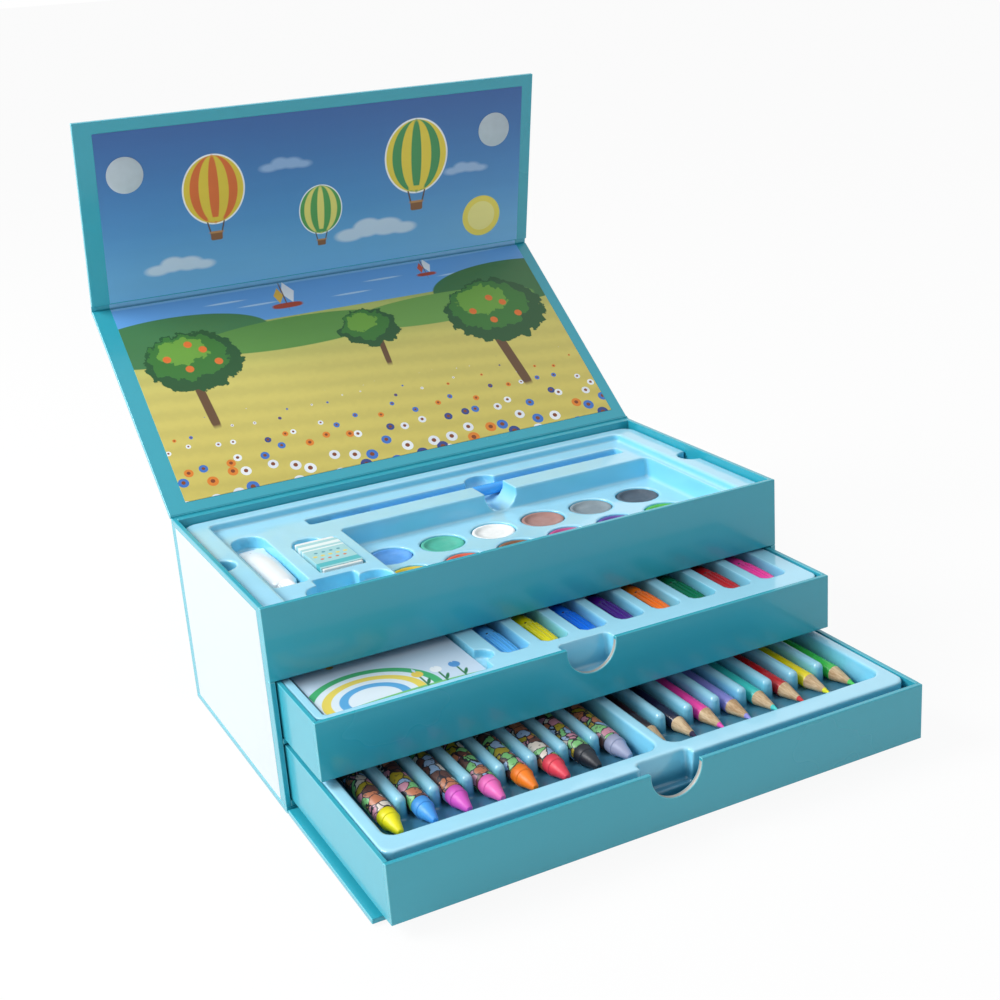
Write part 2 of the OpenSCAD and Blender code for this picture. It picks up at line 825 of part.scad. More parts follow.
// Wells of the glue tube and the eraser with their finger ends, and the empty pocket
module small_pockets() {
    translate([tube_well_x, tube_well_y, 0]) {
        well(tube_w + 1.8, tube_l + 2.4, deck_z - tube_floor_z + fit, 3);
        translate([0, tube_l / 2, 0]) round_well(tube_w + 1, tube_finger_depth);
    }
    translate([eraser_x, eraser_y, 0]) {
        well(eraser_w + 1.6, eraser_l + 1.6, deck_z - eraser_floor_z + fit, 1.5);
        translate([-3, eraser_l / 2, 0]) round_well(finger_d, eraser_finger_depth);
    }
    translate([pocket_x, pocket_y, 0]) {
        well(tool_pocket[0], tool_pocket[1], tool_pocket[2], 2);
        translate([-tool_pocket[0] / 2, -2, 0]) round_well(finger_d, left_scoop_depth);
        translate([tool_pocket[0] / 2 + 5.5, 0, 0]) round_well(right_scoop_d, right_scoop_depth);
    }
}

module paint_cakes() {
    for (row = [0, 1], i = [0:cakes_per_row - 1])
        color(cake_colours[(row * cakes_per_row + i) % len(cake_colours)])
            translate([cake_x0 + i * cake_pitch, cake_row_y - row * row_pitch,
                       paint_floor_z - cake_well_depth + fit])
                paint_cake();
}

// Pressed cake: a disc with a shallow dish in its top
module paint_cake() {
    rim = 1.6;
    rotate_extrude() difference() {
        square([cake_d / 2, cake_t]);
        translate([0, cake_t - 0.4]) square([cake_d / 2 - rim, 1]);
    }
}

// Places what is measured along the brush from the end of its bristles
module along_brush() {
    translate([slot_left + 1.5, slot_y, brush_z]) rotate([0, 90, 0]) children();
}

module brush_bristles() {
    root_r = ferrule_r - ferrule_wall - 0.05;
    color("#2f6f93") along_brush() rotate_extrude()
        polygon([[0, 0], [0.3, 0.2], [1.2, 4], [2, 9], [root_r, bristle_l], [root_r, bristle_l + 6],
                 [0, bristle_l + 6]]);
}

// Thin metal tube that clamps the bristles and the handle, with two rolled beads
module brush_ferrule() {
    color("#3f8fd0") along_brush() translate([0, 0, bristle_l]) difference() {
        union() {
            cylinder(r = ferrule_r, h = ferrule_l);
            for (z = [ferrule_l - 6, ferrule_l - 3]) translate([0, 0, z])
                cylinder(r = ferrule_r + 0.25, h = 1);
        }
        translate([0, 0, -1]) cylinder(r = ferrule_r - ferrule_wall, h = ferrule_l + 2);
    }
}

// Turned handle: a tenon in the ferrule, a belly and a long taper to a round end
module brush_handle() {
    tenon_r = ferrule_r - ferrule_wall - 0.05;
    tenon_l = 8;
    start = bristle_l + ferrule_l;
    long = brush_l - start;
    steps = 14;
    belly = [for (k = [0:steps]) let (s = k / steps)
        [ferrule_r + (brush_d / 2 - ferrule_r) * sin(180 * pow(s, 0.82)) * (1 - 0.2 * s)
            - 0.9 * s * s, start + s * (long - 1)]];
    color("#2d8fe8") along_brush() rotate_extrude()
        polygon(concat([[0, start - tenon_l], [tenon_r, start - tenon_l], [tenon_r, start]],
                       belly, [[0, brush_l]]));
}

// Soft white tube with its cap at the front
module glue_tube() {
    cap_l = 10;
    color("#f4f7f8") translate([tube_well_x, tube_well_y - tube_l / 2, tube_floor_z + tube_t / 2])
        rotate([-90, 0, 0]) {
            cylinder(d1 = tube_t - 1.6, d2 = tube_t - 0.6, h = cap_l);
            translate([0, 0, cap_l]) linear_extrude(tube_l - cap_l) rounded_rect(tube_w, tube_t, 3.5);
        }
}

module eraser_block() {
    color("#f2f4f4") translate([eraser_x, eraser_y, eraser_floor_z + 0.35])
        linear_extrude(eraser_t - 0.7) rounded_rect(eraser_w - 0.9, eraser_l, 1);
}

// Card sleeve round the eraser, open at both ends
module eraser_sleeve() {
    card = 0.3;
    sleeve_l = eraser_l - 5;
    color("#a9d8de") translate([eraser_x, eraser_y + sleeve_l / 2 - 1, eraser_floor_z + eraser_t / 2])
        rotate([90, 0, 0]) linear_extrude(sleeve_l) difference() {
            square([eraser_w, eraser_t], center = true);
            square([eraser_w - 2 * card, eraser_t - 2 * card], center = true);
        }
}

// ---- Nodes ----

base_board();
back_board();
body_back_panel();
left_side_panel();
right_side_panel();
bottom_panel();
drawer_divider();
upper_shelf();
front_band();
base_flap_crease();
lid_crease();
top_insert();
paint_cakes();
brush_handle();
brush_ferrule();
brush_bristles();
glue_tube();
eraser_block();
eraser_sleeve();
lid_board();
lid_lining();
lid_flap_crease();
lid_flap_board();
lid_flap_lining();
hook_dots();
base_flap_board();
loop_dots();
middle_drawer_front();
middle_drawer_walls();
middle_drawer_floor();
middle_insert();
card_pad();
bottom_drawer_front();
bottom_drawer_walls();
bottom_drawer_floor();
bottom_insert();
for (i = [1:marker_count]) marker(i);
for (i = [1:crayon_count]) crayon(i);
for (i = [1:pencil_count]) pencil(i);
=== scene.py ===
import json
import math

import bmesh
import bpy
from mathutils import Matrix, Vector


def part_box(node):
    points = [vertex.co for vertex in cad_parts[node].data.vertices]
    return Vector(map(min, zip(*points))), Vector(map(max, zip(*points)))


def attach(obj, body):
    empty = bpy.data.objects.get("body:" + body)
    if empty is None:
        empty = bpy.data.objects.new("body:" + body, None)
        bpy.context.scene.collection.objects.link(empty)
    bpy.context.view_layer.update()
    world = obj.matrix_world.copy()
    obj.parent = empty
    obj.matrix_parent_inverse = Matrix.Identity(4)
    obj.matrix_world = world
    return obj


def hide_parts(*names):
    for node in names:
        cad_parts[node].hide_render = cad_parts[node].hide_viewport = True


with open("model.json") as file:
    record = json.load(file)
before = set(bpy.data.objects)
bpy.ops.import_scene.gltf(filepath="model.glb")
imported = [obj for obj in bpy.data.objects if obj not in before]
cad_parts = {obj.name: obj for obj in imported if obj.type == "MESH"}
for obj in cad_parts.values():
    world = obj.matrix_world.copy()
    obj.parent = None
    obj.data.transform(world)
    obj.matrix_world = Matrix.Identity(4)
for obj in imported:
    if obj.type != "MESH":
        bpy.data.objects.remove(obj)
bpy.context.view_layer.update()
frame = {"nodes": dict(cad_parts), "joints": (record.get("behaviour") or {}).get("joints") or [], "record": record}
mm = 0.001

# ---- Table, light and camera ----
# The box stands on a pale table in a white room, under one broad soft lamp at its upper left and
# a little behind. The room is dimmer on the camera's side. The camera looks down from the front left.
shot_focal = 1516.3
shot_image = 1000
shot_place = (-299.6 * mm, -651.4 * mm, 352.5 * mm)
shot_yaw, shot_pitch, shot_roll = (math.radians(a) for a in (-25.81, -19.494, -4.216))
room_light = 0.56
dark_side = 0.75
bright_way = (-0.35, 0.8, 0.45)
floor_glow = 0.93
lamp_place = Vector((-1.25, 0.35, 1.15))
lamp_aim = Vector((0, -0.05, 0.05))
lamp_size = 0.9
lamp_power = 27
table_size = 120.0


def linear(r, g, b, share=1.0):
    """A colour as printed on a chart, 0 to 255, in the renderer's linear light."""
    parts = [c / 255 for c in (r, g, b)]
    return [share * (c / 12.92 if c <= 0.04045 else ((c + 0.055) / 1.055) ** 2.4) for c in parts] + [1]


def add(tree, kind, inputs=None, **settings):
    """One node, with its settings made and its inputs wired or given a value."""
    node = tree.nodes.new(kind)
    for name, value in settings.items():
        setattr(node, name, value)
    for key, value in (inputs or {}).items():
        if isinstance(value, bpy.types.NodeSocket):
            tree.links.new(value, node.inputs[key])
        else:
            node.inputs[key].default_value = value
    return node


def maths(tree, operation, *values, clamp=False):
    """What a Math node makes of its values."""
    return add(tree, "ShaderNodeMath", dict(enumerate(values)), operation=operation,
               use_clamp=clamp).outputs[0]


def vectors(tree, operation, *values):
    """What a Vector Math node makes of its vectors."""
    return add(tree, "ShaderNodeVectorMath", dict(enumerate(values)), operation=operation).outputs[0]


def ranged(tree, value, low, high, start=0, stop=1):
    """Low where the value is at start, high where it is at stop, and in step between."""
    return add(tree, "ShaderNodeMapRange", {"Value": value, "From Min": start, "From Max": stop,
                                            "To Min": low, "To Max": high}).outputs[0]


def either(tree, factor, first, second):
    """The first shader where factor is 0, and the second where it is 1."""
    return add(tree, "ShaderNodeMixShader", {0: factor, 1: first, 2: second}).outputs[0]


def linked(name, content, materials=()):
    """A new piece of this mesh, camera or lamp in the scene."""
    piece = bpy.data.objects.new(name, content)
    bpy.context.scene.collection.objects.link(piece)
    for finish in materials:
        content.materials.append(finish)
    return piece


def meshed(bm, name):
    """The mesh of a bmesh that is finished with."""
    mesh = bpy.data.meshes.new(name)
    bm.to_mesh(mesh)
    bm.free()
    return mesh


def seen_directly(tree):
    """1 where the room is looked at, straight or in a gloss or through a clear piece; else 0."""
    ray = add(tree, "ShaderNodeLightPath").outputs
    gloss = maths(tree, "ADD", ray["Is Camera Ray"], ray["Is Glossy Ray"])
    return maths(tree, "ADD", gloss, ray["Is Transmission Ray"], clamp=True)


camera = linked("camera", bpy.data.cameras.new("camera"))
camera.data.sensor_fit = "HORIZONTAL"
camera.data.sensor_width = 36
camera.data.lens = camera.data.sensor_width * shot_focal / shot_image
camera.data.clip_start = 0.01
camera.matrix_world = (Matrix.Translation(shot_place) @ Matrix.Rotation(shot_yaw, 4, "Z")
                       @ Matrix.Rotation(math.radians(90) + shot_pitch, 4, "X")
                       @ Matrix.Rotation(shot_roll, 4, "Z"))
bpy.context.scene.camera = camera
bpy.context.scene.view_settings.view_transform = "Standard"

room = bpy.data.worlds.new("white_room")
room.use_nodes = True
tree = room.node_tree
tree.nodes.clear()
side = add(tree, "ShaderNodeTexCoord").outputs["Generated"]
towards = add(tree, "ShaderNodeVectorMath", {0: side, 1: bright_way}, operation="DOT_PRODUCT")
wall = ranged(tree, towards.outputs["Value"], dark_side, 1.0, -0.8, 0.5)
dim = maths(tree, "MULTIPLY", wall, room_light)
lit = add(tree, "ShaderNodeBackground", {"Color": (0.97, 0.985, 1, 1), "Strength": dim})
gloss = add(tree, "ShaderNodeBackground", {"Color": (1, 1, 1, 1), "Strength": wall})
white = add(tree, "ShaderNodeBackground", {"Color": (1, 1, 1, 1), "Strength": 1.0})
ray = add(tree, "ShaderNodeLightPath").outputs
both = either(tree, seen_directly(tree), lit.outputs[0], gloss.outputs[0])
all_three = either(tree, ray["Is Camera Ray"], both, white.outputs[0])
add(tree, "ShaderNodeOutputWorld", {"Surface": all_three})
bpy.context.scene.world = room

lamp = linked("soft_lamp", bpy.data.lights.new("soft_lamp", "AREA"))
lamp.data.shape = "DISK"
lamp.data.size = lamp_size
lamp.data.energy = lamp_power
lamp.location = lamp_place
lamp.rotation_euler = (lamp_aim - lamp_place).to_track_quat("-Z", "Y").to_euler()

table_top = bpy.data.materials.new("pale_table")
table_top.use_nodes = True
tree = table_top.node_tree
tree.nodes.clear()
matt = add(tree, "ShaderNodeBsdfDiffuse", {"Color": (0.9, 0.9, 0.9, 1)})
glow = add(tree, "ShaderNodeEmission", {"Color": (1, 1, 1, 1), "Strength": 1.0})
share = maths(tree, "MULTIPLY", seen_directly(tree), floor_glow)
both = either(tree, share, matt.outputs[0], glow.outputs[0])
add(tree, "ShaderNodeOutputMaterial", {"Surface": both})

bm = bmesh.new()
bmesh.ops.create_grid(bm, x_segments=1, y_segments=1, size=table_size / 2)
for vertex in bm.verts:
    vertex.co.z = -0.2 * mm
table = linked("table", meshed(bm, "table"), [table_top])

# ---- Wrapped boards ----
# Case, lid, flaps and drawer fronts are 2.5 mm greyboard, wrapped in turquoise paper with a satin
# laminate. The paper is glued round every edge; only the finger notches show the cut board.
board_soft = 0.35 * mm
wall_soft = 0.2 * mm
paper_colour = (48, 170, 190)
# Paler colour for the rounded edges: partly the paper rubbed there, partly a painted sheen along them.
paper_worn_and_sheen = (98, 196, 210)
notch_r = 12.5 * mm
sharp_edge = math.radians(38)
WRAPPED = ["base_board", "back_board", "body_back_panel", "left_side_panel", "right_side_panel",
           "bottom_panel", "drawer_divider", "upper_shelf", "front_band", "lid_board",
           "lid_flap_board", "base_flap_board", "middle_drawer_front", "bottom_drawer_front"]
FOLDED = ["middle_drawer_walls", "bottom_drawer_walls", "middle_drawer_floor", "bottom_drawer_floor"]
CREASED = ["base_flap_crease", "lid_crease"]


def effect(name, takes, gives):
    """An empty shader group with its sockets, and the two nodes that stand for them inside."""
    group = bpy.data.node_groups.new(name, "ShaderNodeTree")
    for socket, kind, start in takes:
        made = group.interface.new_socket(socket, in_out="INPUT", socket_type=kind)
        if start is not None:
            made.default_value = start
    for socket, kind in gives:
        group.interface.new_socket(socket, in_out="OUTPUT", socket_type=kind)
    return group, group.nodes.new("NodeGroupInput").outputs, group.nodes.new("NodeGroupOutput")


def wire(group, socket, end, name):
    group.links.new(socket, end.inputs[name])


def noise(tree, place, scale, detail):
    return add(tree, "ShaderNodeTexNoise", {"Vector": place, "Scale": scale, "Detail": detail}).outputs[0]


def mapped(tree, place, scale):
    return add(tree, "ShaderNodeMapping", {"Vector": place, "Scale": scale}).outputs[0]


def brightened(tree, colour, value):
    return add(tree, "ShaderNodeHueSaturation", {"Color": colour, "Value": value}).outputs[0]


def laid_over(tree, factor, ground, over):
    """One colour over another as far as factor says. Each is a socket or a linear colour."""
    return add(tree, "ShaderNodeMix", {"Factor": factor, 6: ground, 7: over}, data_type="RGBA").outputs[2]


def ramped(tree, value, stops, interpolation="LINEAR"):
    """A colour that runs through stops of (share, colour) as value goes from 0 to 1."""
    ramp = add(tree, "ShaderNodeValToRGB", {"Fac": value})
    band = ramp.color_ramp
    band.interpolation = interpolation
    for share, colour in stops[1:-1]:
        band.elements.new(share).color = linear(*colour)
    for element, (share, colour) in ((band.elements[0], stops[0]), (band.elements[-1], stops[-1])):
        element.position = share
        element.color = linear(*colour)
    return ramp.outputs[0]


# Laminated paper: slow drifts of tone from the printing, faint lengthwise streaks from the roller
# that laid the film, and the fibres' own fine grain under it.
laminate, given, end = effect(
    "laminated_paper",
    [("Place", "NodeSocketVector", None), ("Ink", "NodeSocketColor", None),
     ("Drift", "NodeSocketFloat", 0.05), ("Roughness", "NodeSocketFloat", 0.3)],
    [("Colour", "NodeSocketColor"), ("Roughness", "NodeSocketFloat"), ("Height", "NodeSocketFloat")])
slow = noise(laminate, given["Place"], 14.0, 3.0)
stretched = mapped(laminate, given["Place"], (9, 160, 160))
streak = noise(laminate, stretched, 1.0, 4.0)
fibre = noise(laminate, given["Place"], 1500.0, 3.0)
blend = maths(laminate, "ADD", slow, streak)
signed = maths(laminate, "SUBTRACT", blend, 1.0)
swing = maths(laminate, "MULTIPLY", signed, given["Drift"])
bright = maths(laminate, "ADD", swing, 1.0)
toned = brightened(laminate, given["Ink"], bright)
drifted = maths(laminate, "SUBTRACT", slow, 0.5)
gloss = maths(laminate, "MULTIPLY_ADD", drifted, 0.08, given["Roughness"])
wire(laminate, toned, end, "Colour")
wire(laminate, gloss, end, "Roughness")
wire(laminate, fibre, end, "Height")


def material(name):
    """A new material with its Principled shader and the place on the piece, in metres."""
    made = bpy.data.materials.new(name)
    made.use_nodes = True
    tree = made.node_tree
    tree.nodes.clear()
    shader = add(tree, "ShaderNodeBsdfPrincipled")
    add(tree, "ShaderNodeOutputMaterial", {"Surface": shader.outputs[0]})
    return made, tree, shader, add(tree, "ShaderNodeTexCoord").outputs["Object"]


def bump(tree, shader, height, depth):
    """Raises the surface by up to depth where height is 1."""
    node = add(tree, "ShaderNodeBump", {"Height": height, "Distance": depth, "Strength": 1.0})
    tree.links.new(node.outputs[0], shader.inputs["Normal"])


def dress(tree, shader, colour, roughness, height, depth, **rest):
    """Gives a shader its colour, its roughness, its relief of up to depth, and the rest by name."""
    tree.links.new(colour, shader.inputs["Base Color"])
    if isinstance(roughness, bpy.types.NodeSocket):
        tree.links.new(roughness, shader.inputs["Roughness"])
    else:
        shader.inputs["Roughness"].default_value = roughness
    for words, value in rest.items():
        shader.inputs[words.replace("_", " ")].default_value = value
    bump(tree, shader, height, depth)


def papered(tree, shader, place, ink, drift, roughness, depth=0.02 * mm, **rest):
    """Dresses a shader as laminated paper whose ink is a socket or a linear colour."""
    paper = add(tree, "ShaderNodeGroup", {"Place": place, "Ink": ink, "Drift": drift,
                                          "Roughness": roughness}, node_tree=laminate).outputs
    dress(tree, shader, paper["Colour"], paper["Roughness"], paper["Height"], depth, **rest)


def laminated(name, ink, drift, roughness):
    made, tree, shader, place = material(name)
    papered(tree, shader, place, linear(*ink), drift, roughness, Coat_Weight=0.4, Coat_Roughness=0.1)
    return made


turquoise_paper = laminated("turquoise_paper", paper_colour, 0.05, 0.26)
# Edge paper: paler, part rubbed wear and part painted sheen along the rounded edges.
rubbed_and_sheen_paper = laminated("rubbed_and_sheen_paper_edge", paper_worn_and_sheen, 0.09, 0.42)
inner_paper = laminated("inner_paper", (54, 170, 190), 0.06, 0.4)

greyboard, tree, shader, place = material("cut_greyboard")
layers = mapped(tree, place, (60, 2600, 60))
plies = noise(tree, layers, 1.0, 4.0)
flock = noise(tree, place, 900.0, 4.0)
tone = ramped(tree, plies, [(0.3, (142, 139, 134)), (0.7, (203, 198, 190))])
dress(tree, shader, tone, 0.9, flock, 0.08 * mm)


def settle(piece):
    """Makes a piece's modifiers part of its plain mesh."""
    graph = bpy.context.evaluated_depsgraph_get()
    mesh = bpy.data.meshes.new_from_object(piece.evaluated_get(graph))
    piece.modifiers.clear()
    piece.data = mesh
    return piece


def merged_copy(node):
    """A CAD node's own mesh, with its loose triangles joined and its flat faces made whole."""
    bm = bmesh.new()
    bm.from_mesh(frame["nodes"][node].data)
    bmesh.ops.remove_doubles(bm, verts=bm.verts, dist=2e-6)
    bmesh.ops.dissolve_limit(bm, angle_limit=math.radians(0.5), verts=bm.verts, edges=bm.edges)
    return bm


def body_of(node):
    return next(body for body, members in frame["record"]["behaviour"]["bodies"].items() if node in members)


def soften(piece, width, finish=-1):
    """Works every sharp edge round by width, and shades the broad faces flat."""
    edge = piece.modifiers.new("soft_edges", "BEVEL")
    edge.width = width
    edge.segments = 3
    edge.limit_method = "ANGLE"
    edge.angle_limit = sharp_edge
    edge.use_clamp_overlap = False
    edge.material = finish
    for face in piece.data.polygons:
        face.use_smooth = True
    even = piece.modifiers.new("even_faces", "WEIGHTED_NORMAL")
    even.weight = 90
    return settle(piece)


def stands_for(piece, node):
    """The piece takes a CAD node's place on that node's body."""
    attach(piece, body_of(node))
    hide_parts(node)
    return piece


def wrap(node, width, skin):
    bm = merged_copy(node)
    low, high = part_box(node)
    if node.endswith("drawer_front"):
        for face in bm.faces:
            middle = face.calc_center_median()
            inside = abs(middle.x) < notch_r + 0.1 * mm and middle.z < high.z - 0.3 * mm
            if inside and abs(face.normal.y) < 0.2 and middle.z > low.z + 5 * mm:
                face.material_index = 2
    piece = linked(node + "_wrapped", meshed(bm, node + "_wrapped"), [skin, rubbed_and_sheen_paper, greyboard])
    stands_for(soften(piece, width, finish=1), node)


for node in WRAPPED:
    wrap(node, board_soft, turquoise_paper)
for node in FOLDED:
    wrap(node, wall_soft, inner_paper)
for node in CREASED:
    frame["nodes"][node].data.materials.clear()
    frame["nodes"][node].data.materials.append(turquoise_paper)

# ---- Side label ----
# A bare white printed sheet on the left panel, laminated with the wrapping paper, with a narrow
# turquoise edge left round it.
label_front, label_back = -62 * mm, 64 * mm
label_foot, label_head = 4 * mm, 97 * mm
label_t = 0.05 * mm
white_label = laminated("white_label", (202, 212, 216), 0.02, 0.35)
low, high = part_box("left_side_panel")
bm = bmesh.new()
bmesh.ops.create_cube(bm, size=1)
for vertex in bm.verts:
    vertex.co = (low.x - label_t if vertex.co.x < 0 else low.x + label_t,
                 label_front if vertex.co.y < 0 else label_back,
                 label_foot if vertex.co.z < 0 else label_head)
side_label = linked("side_label", meshed(bm, "side_label"), [white_label])
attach(side_label, "case")

# ---- Lid and flap linings ----
# Printed sheets glued inside the lid and its flap, which leave a turquoise border. The print is a
# countryside scene: balloons over a lake, hills, fruit trees and a meadow of round flowers.
joints = {joint["name"]: joint for joint in frame["joints"]}
lid_turn = math.radians(-142.3)
flap_turn = lid_turn + math.radians(64.5)
lid_place = Matrix.Translation(joints["lid_hinge"]["pos_m"]) @ Matrix.Rotation(lid_turn, 4, "X")
flap_place = Matrix.Translation(joints["lid_flap_hinge"]["pos_m"]) @ Matrix.Rotation(flap_turn, 4, "X")
print_edge = 0.35
lining_reach = 0.8 * mm

# One printed shape, a superellipse: power 1 is a diamond, 2 an ellipse and 8 a block.
shape, given, end = effect(
    "printed_shape",
    [("Place", "NodeSocketVector", None), ("Centre", "NodeSocketVector", None),
     ("Half", "NodeSocketVector", None), ("Turn", "NodeSocketFloat", 0.0),
     ("Power", "NodeSocketFloat", 2.0), ("Sharpness", "NodeSocketFloat", 20.0)],
    [("Mask", "NodeSocketFloat")])
moved = vectors(shape, "SUBTRACT", given["Place"], given["Centre"])
turned_back = add(shape, "ShaderNodeVectorRotate", {"Vector": moved, "Angle": given["Turn"]},
                  rotation_type="Z_AXIS", invert=True)
scaled = vectors(shape, "DIVIDE", turned_back.outputs[0], given["Half"])
sides = vectors(shape, "ABSOLUTE", scaled)
split = add(shape, "ShaderNodeSeparateXYZ", {0: sides})
across = maths(shape, "POWER", split.outputs[0], given["Power"])
upward = maths(shape, "POWER", split.outputs[1], given["Power"])
total = maths(shape, "ADD", across, upward)
root = maths(shape, "DIVIDE", 1.0, given["Power"])
reach = maths(shape, "POWER", total, root)
inside = maths(shape, "SUBTRACT", 1.0, reach)
mask = maths(shape, "MULTIPLY_ADD", inside, given["Sharpness"], 0.5, clamp=True)
wire(shape, mask, end, "Mask")


def print_over(tree, place, ground, shapes):
    """Lays printed shapes over a ground colour: (colour, x, y, width, height, turn, power, edge)."""
    for colour, x, y, width, height, *rest in shapes:
        turn, power, edge = (list(rest) + [0, 2, print_edge][len(rest):])
        half = (width / 2 * mm, height / 2 * mm, 1000)
        spot = add(tree, "ShaderNodeGroup", {
            "Place": place, "Centre": (x * mm, y * mm, 0), "Half": half, "Turn": math.radians(turn),
            "Power": power, "Sharpness": min(width, height) / 2 / edge}, node_tree=shape)
        ground = laid_over(tree, spot.outputs[0], ground, linear(*colour))
    return ground


def banded(tree, value, start, stop, stops):
    """Soft bands of stops of (share, colour) as value goes from start to stop, in millimetres."""
    return ramped(tree, ranged(tree, value, 0, 1, start * mm, stop * mm), stops, "B_SPLINE")


def balloon(x, y, size, outer, stripe):
    """A striped balloon with its ropes and basket."""
    gores = [(colour, x, y, size * share, size * 1.12)
             for share, colour in zip((1, 0.8, 0.5, 0.17), (outer, stripe, outer, stripe))]
    basket_y = y - size * 0.78
    ropes = [((92, 72, 60), x + side * size * 0.12, y - size * 0.62, size * 0.025, size * 0.3,
              side * -14, 8) for side in (-1, 1)]
    return ([((255, 255, 255), x, y, size * 1.05, size * 1.17)] + ropes + gores
            + [(outer, x, y - size * 0.5, size * 0.26, size * 0.07, 0, 8),
               ((140, 92, 52), x, basket_y, size * 0.2, size * 0.15, 0, 6),
               ((196, 142, 84), x, basket_y + size * 0.06, size * 0.22, size * 0.035, 0, 8)])


def cloud(x, y, size, colour=(206, 226, 246)):
    puffs = [(-0.75, 0, 0.8, 0.34), (-0.25, 0.14, 0.8, 0.5), (0.3, 0.1, 0.9, 0.46), (0.8, 0, 0.7, 0.3)]
    soft = 1.6
    return [(colour, x + dx * size, y + dy * size, w * size, h * size, 0, 2, soft)
            for dx, dy, w, h in puffs]


def sailing_boat(x, y, size, sail):
    return [((238, 244, 250), x + size * 0.17, y + size * 0.5, size * 0.42, size * 0.85, 6, 1),
            (sail, x - size * 0.15, y + size * 0.42, size * 0.3, size * 0.62, -8, 1),
            ((120, 84, 54), x, y + size * 0.45, size * 0.04, size * 0.95, 0, 8),
            ((176, 70, 44), x, y, size * 0.95, size * 0.2, 0, 3)]


def tree_trunk(x, y, size, lean):
    return [((104, 74, 46), x - lean * size * 0.02, y - size * 0.45, size * 0.1, size * 0.8, lean, 8)]


def tree_crown(x, y, size):
    """Three tones of foliage, one over the other, each higher and smaller."""
    return [((34, 88, 44), x, y, size, size * 0.78),
            ((58, 124, 50), x - size * 0.04, y + size * 0.07, size * 0.82, size * 0.58),
            ((112, 168, 62), x - size * 0.08, y + size * 0.15, size * 0.52, size * 0.34)]


def printed_sheet(name, node, place, paint, reach):
    """A lining sheet whose print is laid out in metres along and away from its fold.

    Its edge by the fold is brought nearer to the fold by reach.
    """
    bm = merged_copy(node)
    chart = bm.loops.layers.uv.new("print")
    back = place.inverted()
    spots = {vertex: back @ vertex.co for vertex in bm.verts}
    fold_edge = (max if reach > 0 else min)(-spot.y for spot in spots.values())
    for vertex, spot in spots.items():
        if abs(-spot.y - fold_edge) < 0.1 * mm:
            spot.y -= reach
            vertex.co = place @ spot
    for face in bm.faces:
        for loop in face.loops:
            spot = back @ loop.vert.co
            loop[chart].uv = (spot.x, -spot.y)
    made, tree, shader, _ = material(name + "_ink")
    where = add(tree, "ShaderNodeUVMap", {}, uv_map="print").outputs[0]
    papered(tree, shader, where, paint(tree, where), 0.06, 0.34)
    return linked(name, meshed(bm, name), [made])


def flap_print(tree, where):
    split = add(tree, "ShaderNodeSeparateXYZ", {0: where})
    sky = banded(tree, split.outputs[1], 0, 96, [(0, (128, 196, 238)), (0.4, (78, 152, 214)),
                                                 (1, (54, 92, 160))])
    shapes = (cloud(-84, 16, 17) + cloud(34, 20, 22) + cloud(-20, 66, 13, (150, 184, 226))
              + cloud(92, 50, 12, (160, 192, 230))
              + [((246, 226, 96), 103, 20, 25, 25), ((252, 240, 150), 103, 20, 18, 18)]
              + balloon(-62, 58, 34, (232, 204, 60), (226, 112, 44))
              + balloon(0, 38, 25, (86, 164, 84), (236, 226, 120))
              + balloon(60, 62, 38, (240, 214, 74), (70, 152, 92)))
    return print_over(tree, where, sky, shapes)


